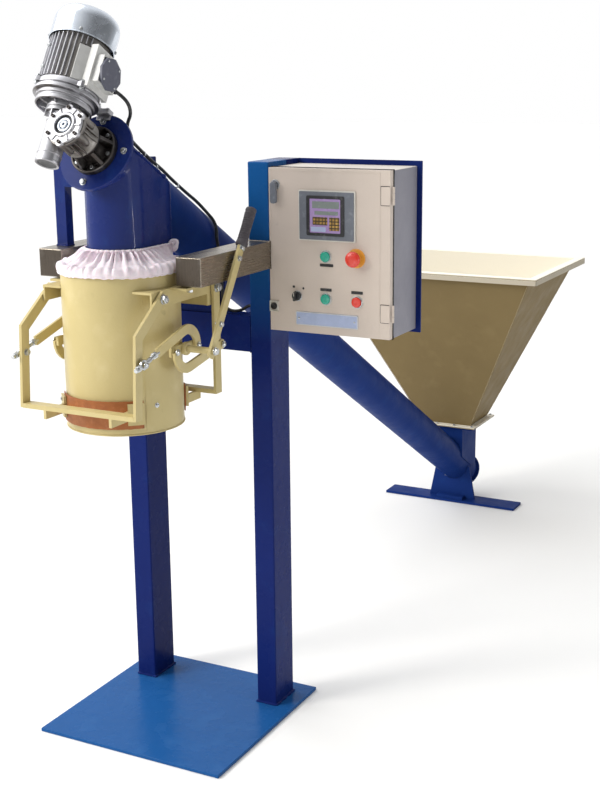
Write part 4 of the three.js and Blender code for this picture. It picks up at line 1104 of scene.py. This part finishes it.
# ---- frame and feed
def frame_details():
    welds = Shape()
    for k, side in enumerate(("left", "right")):
        low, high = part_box(f"{side}_post")
        corners = [Vector((x, y, low.z + 0.0015)) for x, y in (
            (low.x, low.y), (high.x, low.y), (high.x, high.y), (low.x, high.y))]
        bead = []
        for a, b in zip(corners, corners[1:] + corners[:1]):
            bead += straight(a, b, max(int((b - a).length / 0.005), 2) + 1)[:-1]
        welds.tube(bead, 0.0042, 8, 0.7, 11.0 * k, True)
    low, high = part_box("cross_member")
    for x in (low.x, high.x):
        for z in (low.z, high.z):
            welds.tube(straight((x, low.y, z), (x, high.y, z), 11), 0.0028, 8, 0.6, x + z)
    low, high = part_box("head_support")
    for z, seed in ((1.606, 4.0), (1.566, 5.0)):
        welds.tube(straight((high.x, low.y, z), (high.x, high.y, z), 9), 0.003, 8, 0.7, seed)
    z = low.z + 0.001
    for x0, x1, y1, seed in ((-0.239, -0.239, -0.145, -0.239), (-0.205, -0.205, -0.145, -0.205),
                             (-0.239, -0.205, -0.175, 6.0)):
        welds.tube(straight((x0, -0.175, z), (x1, y1, z), 9), 0.0028, 8, 0.7, seed)
    welds.piece("frame_welds", "blue")

    # +Z back along the screw axis, out of the tail plate
    tail, end = screw @ turned(-pi / 2, "X"), 3.0883
    Shape(tail).ring(mm("69.8 0, 72 2, 72 6, 69.8 8", 3.066), 64).piece("tail_weld_ring", "blue", 0.0005)
    bolts = Shape(tail).bolts([moved(*at_angle(k * pi / 3, 0.068, end)) for k in range(6)], 0.007)
    bolts.bolts([moved(*at_angle((k + 0.5) * pi / 2, 0.031, end + 0.0097)) for k in range(4)], 0.0055)
    bolts.piece("tail_bolts", "zinc", 0.0003)


def feed_details():
    low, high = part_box("hopper")
    foot, lip = 0.358, 0.03
    mouth = [(low.x + lip, low.y + lip), (high.x - lip, low.y + lip), (high.x - lip, high.y - lip),
             (low.x + lip, high.y - lip)]
    throat = [(-0.105, 2.15), (0.105, 2.15), (0.105, 2.35), (-0.105, 2.35)]
    seams = Shape()
    for k, (rim, root) in enumerate(zip(mouth, throat)):
        start, end = Vector((*root, foot)), Vector((*rim, high.z))
        seams.tube(straight(start.lerp(end, 0.02), start.lerp(end, 0.987), 61), 0.0016, 8, 0.4, k)
    seams.piece("hopper_seams", "hopper")
    spots = [moved(x, y, 0.366) for x in (-0.12, -0.04, 0.04, 0.12) for y in (2.132, 2.368)]
    Shape().bolts(spots, 0.006).piece("hopper_bolts", "zinc")
    rim = Shape()
    for x0, y0, x1, y1 in bars(low.x, high.x, low.y, high.y, 0.003):
        rim.box((x0, y0, high.z - 0.026), (x1, y1, high.z - 0.007))
    rim.piece("hopper_lip", "hopper", 0.0008)


# ---- stage and light
def area_light(name, place, target, width, height, power, colour):
    data = bpy.data.lights.new(name, "AREA")
    data.shape = "RECTANGLE"
    data.size = width
    data.size_y = height
    data.energy = power
    data.color = colour
    lamp = on_scene(name, data)
    lamp.location = place
    lamp.rotation_mode = "QUATERNION"
    lamp.rotation_quaternion = (Vector(target) - Vector(place)).to_track_quat("-Z", "Y")


def studio():
    data = bpy.data.meshes.new("floor")
    corners = [(x, y, -0.0005) for x, y in ((-40, -40), (40, -40), (40, 40), (-40, 40))]
    data.from_pydata(corners, [], [(0, 1, 2, 3)])
    paint = Paint("studio_floor", tint("f4f4f3"), 0.75)
    paint.mottle(0.7, 0.012)
    data.materials.append(paint.done(0.03))
    on_scene("floor", data)
    world = bpy.data.worlds.new("studio")
    world.use_nodes = True
    nodes, links = world.node_tree.nodes, world.node_tree.links
    where = nodes.new("ShaderNodeTexCoord")
    slant = nodes.new("ShaderNodeVectorMath")
    slant.operation = "DOT_PRODUCT"
    slant.inputs[1].default_value = (-0.88, 0.25, 0.4)
    spread = nodes.new("ShaderNodeMapRange")
    fill(spread, {"From Min": -0.5, "From Max": 0.35, "To Min": 0.14, "To Max": 1.0})
    links.new(where.outputs["Generated"], slant.inputs[0])
    links.new(slant.outputs["Value"], spread.inputs["Value"])
    links.new(spread.outputs["Result"], nodes["Background"].inputs["Strength"])
    nodes["Background"].inputs["Color"].default_value = (1, 1, 1, 1)
    bpy.context.scene.world = world
    area_light("strip", (3.2, 0.05, 1.45), (0, -0.15, 1.5), 0.04, 2.0, 12, (1, 1, 1))
    area_light("key", (-3.0, -3.4, 3.4), (0, 0.1, 1.0), 1.5, 1.5, 150, (1.0, 0.97, 0.91))
    sun = bpy.data.lights.new("sky", "SUN")
    sun.energy = 1.5
    sun.angle = radians(70)
    on_scene("sky", sun).rotation_euler = Vector((-0.62, -0.1, 0.78)).to_track_quat("Z", "Y").to_euler()
    bpy.context.scene.view_settings.view_transform = "Standard"


head_details()
casting()
gearbox()
motor()
cable()
dust_cover()
straps()
front_links()
clamp_details()
lever()
controller()
door_controls()
door_fittings()
cabinet_details()
frame_details()
feed_details()
studio()
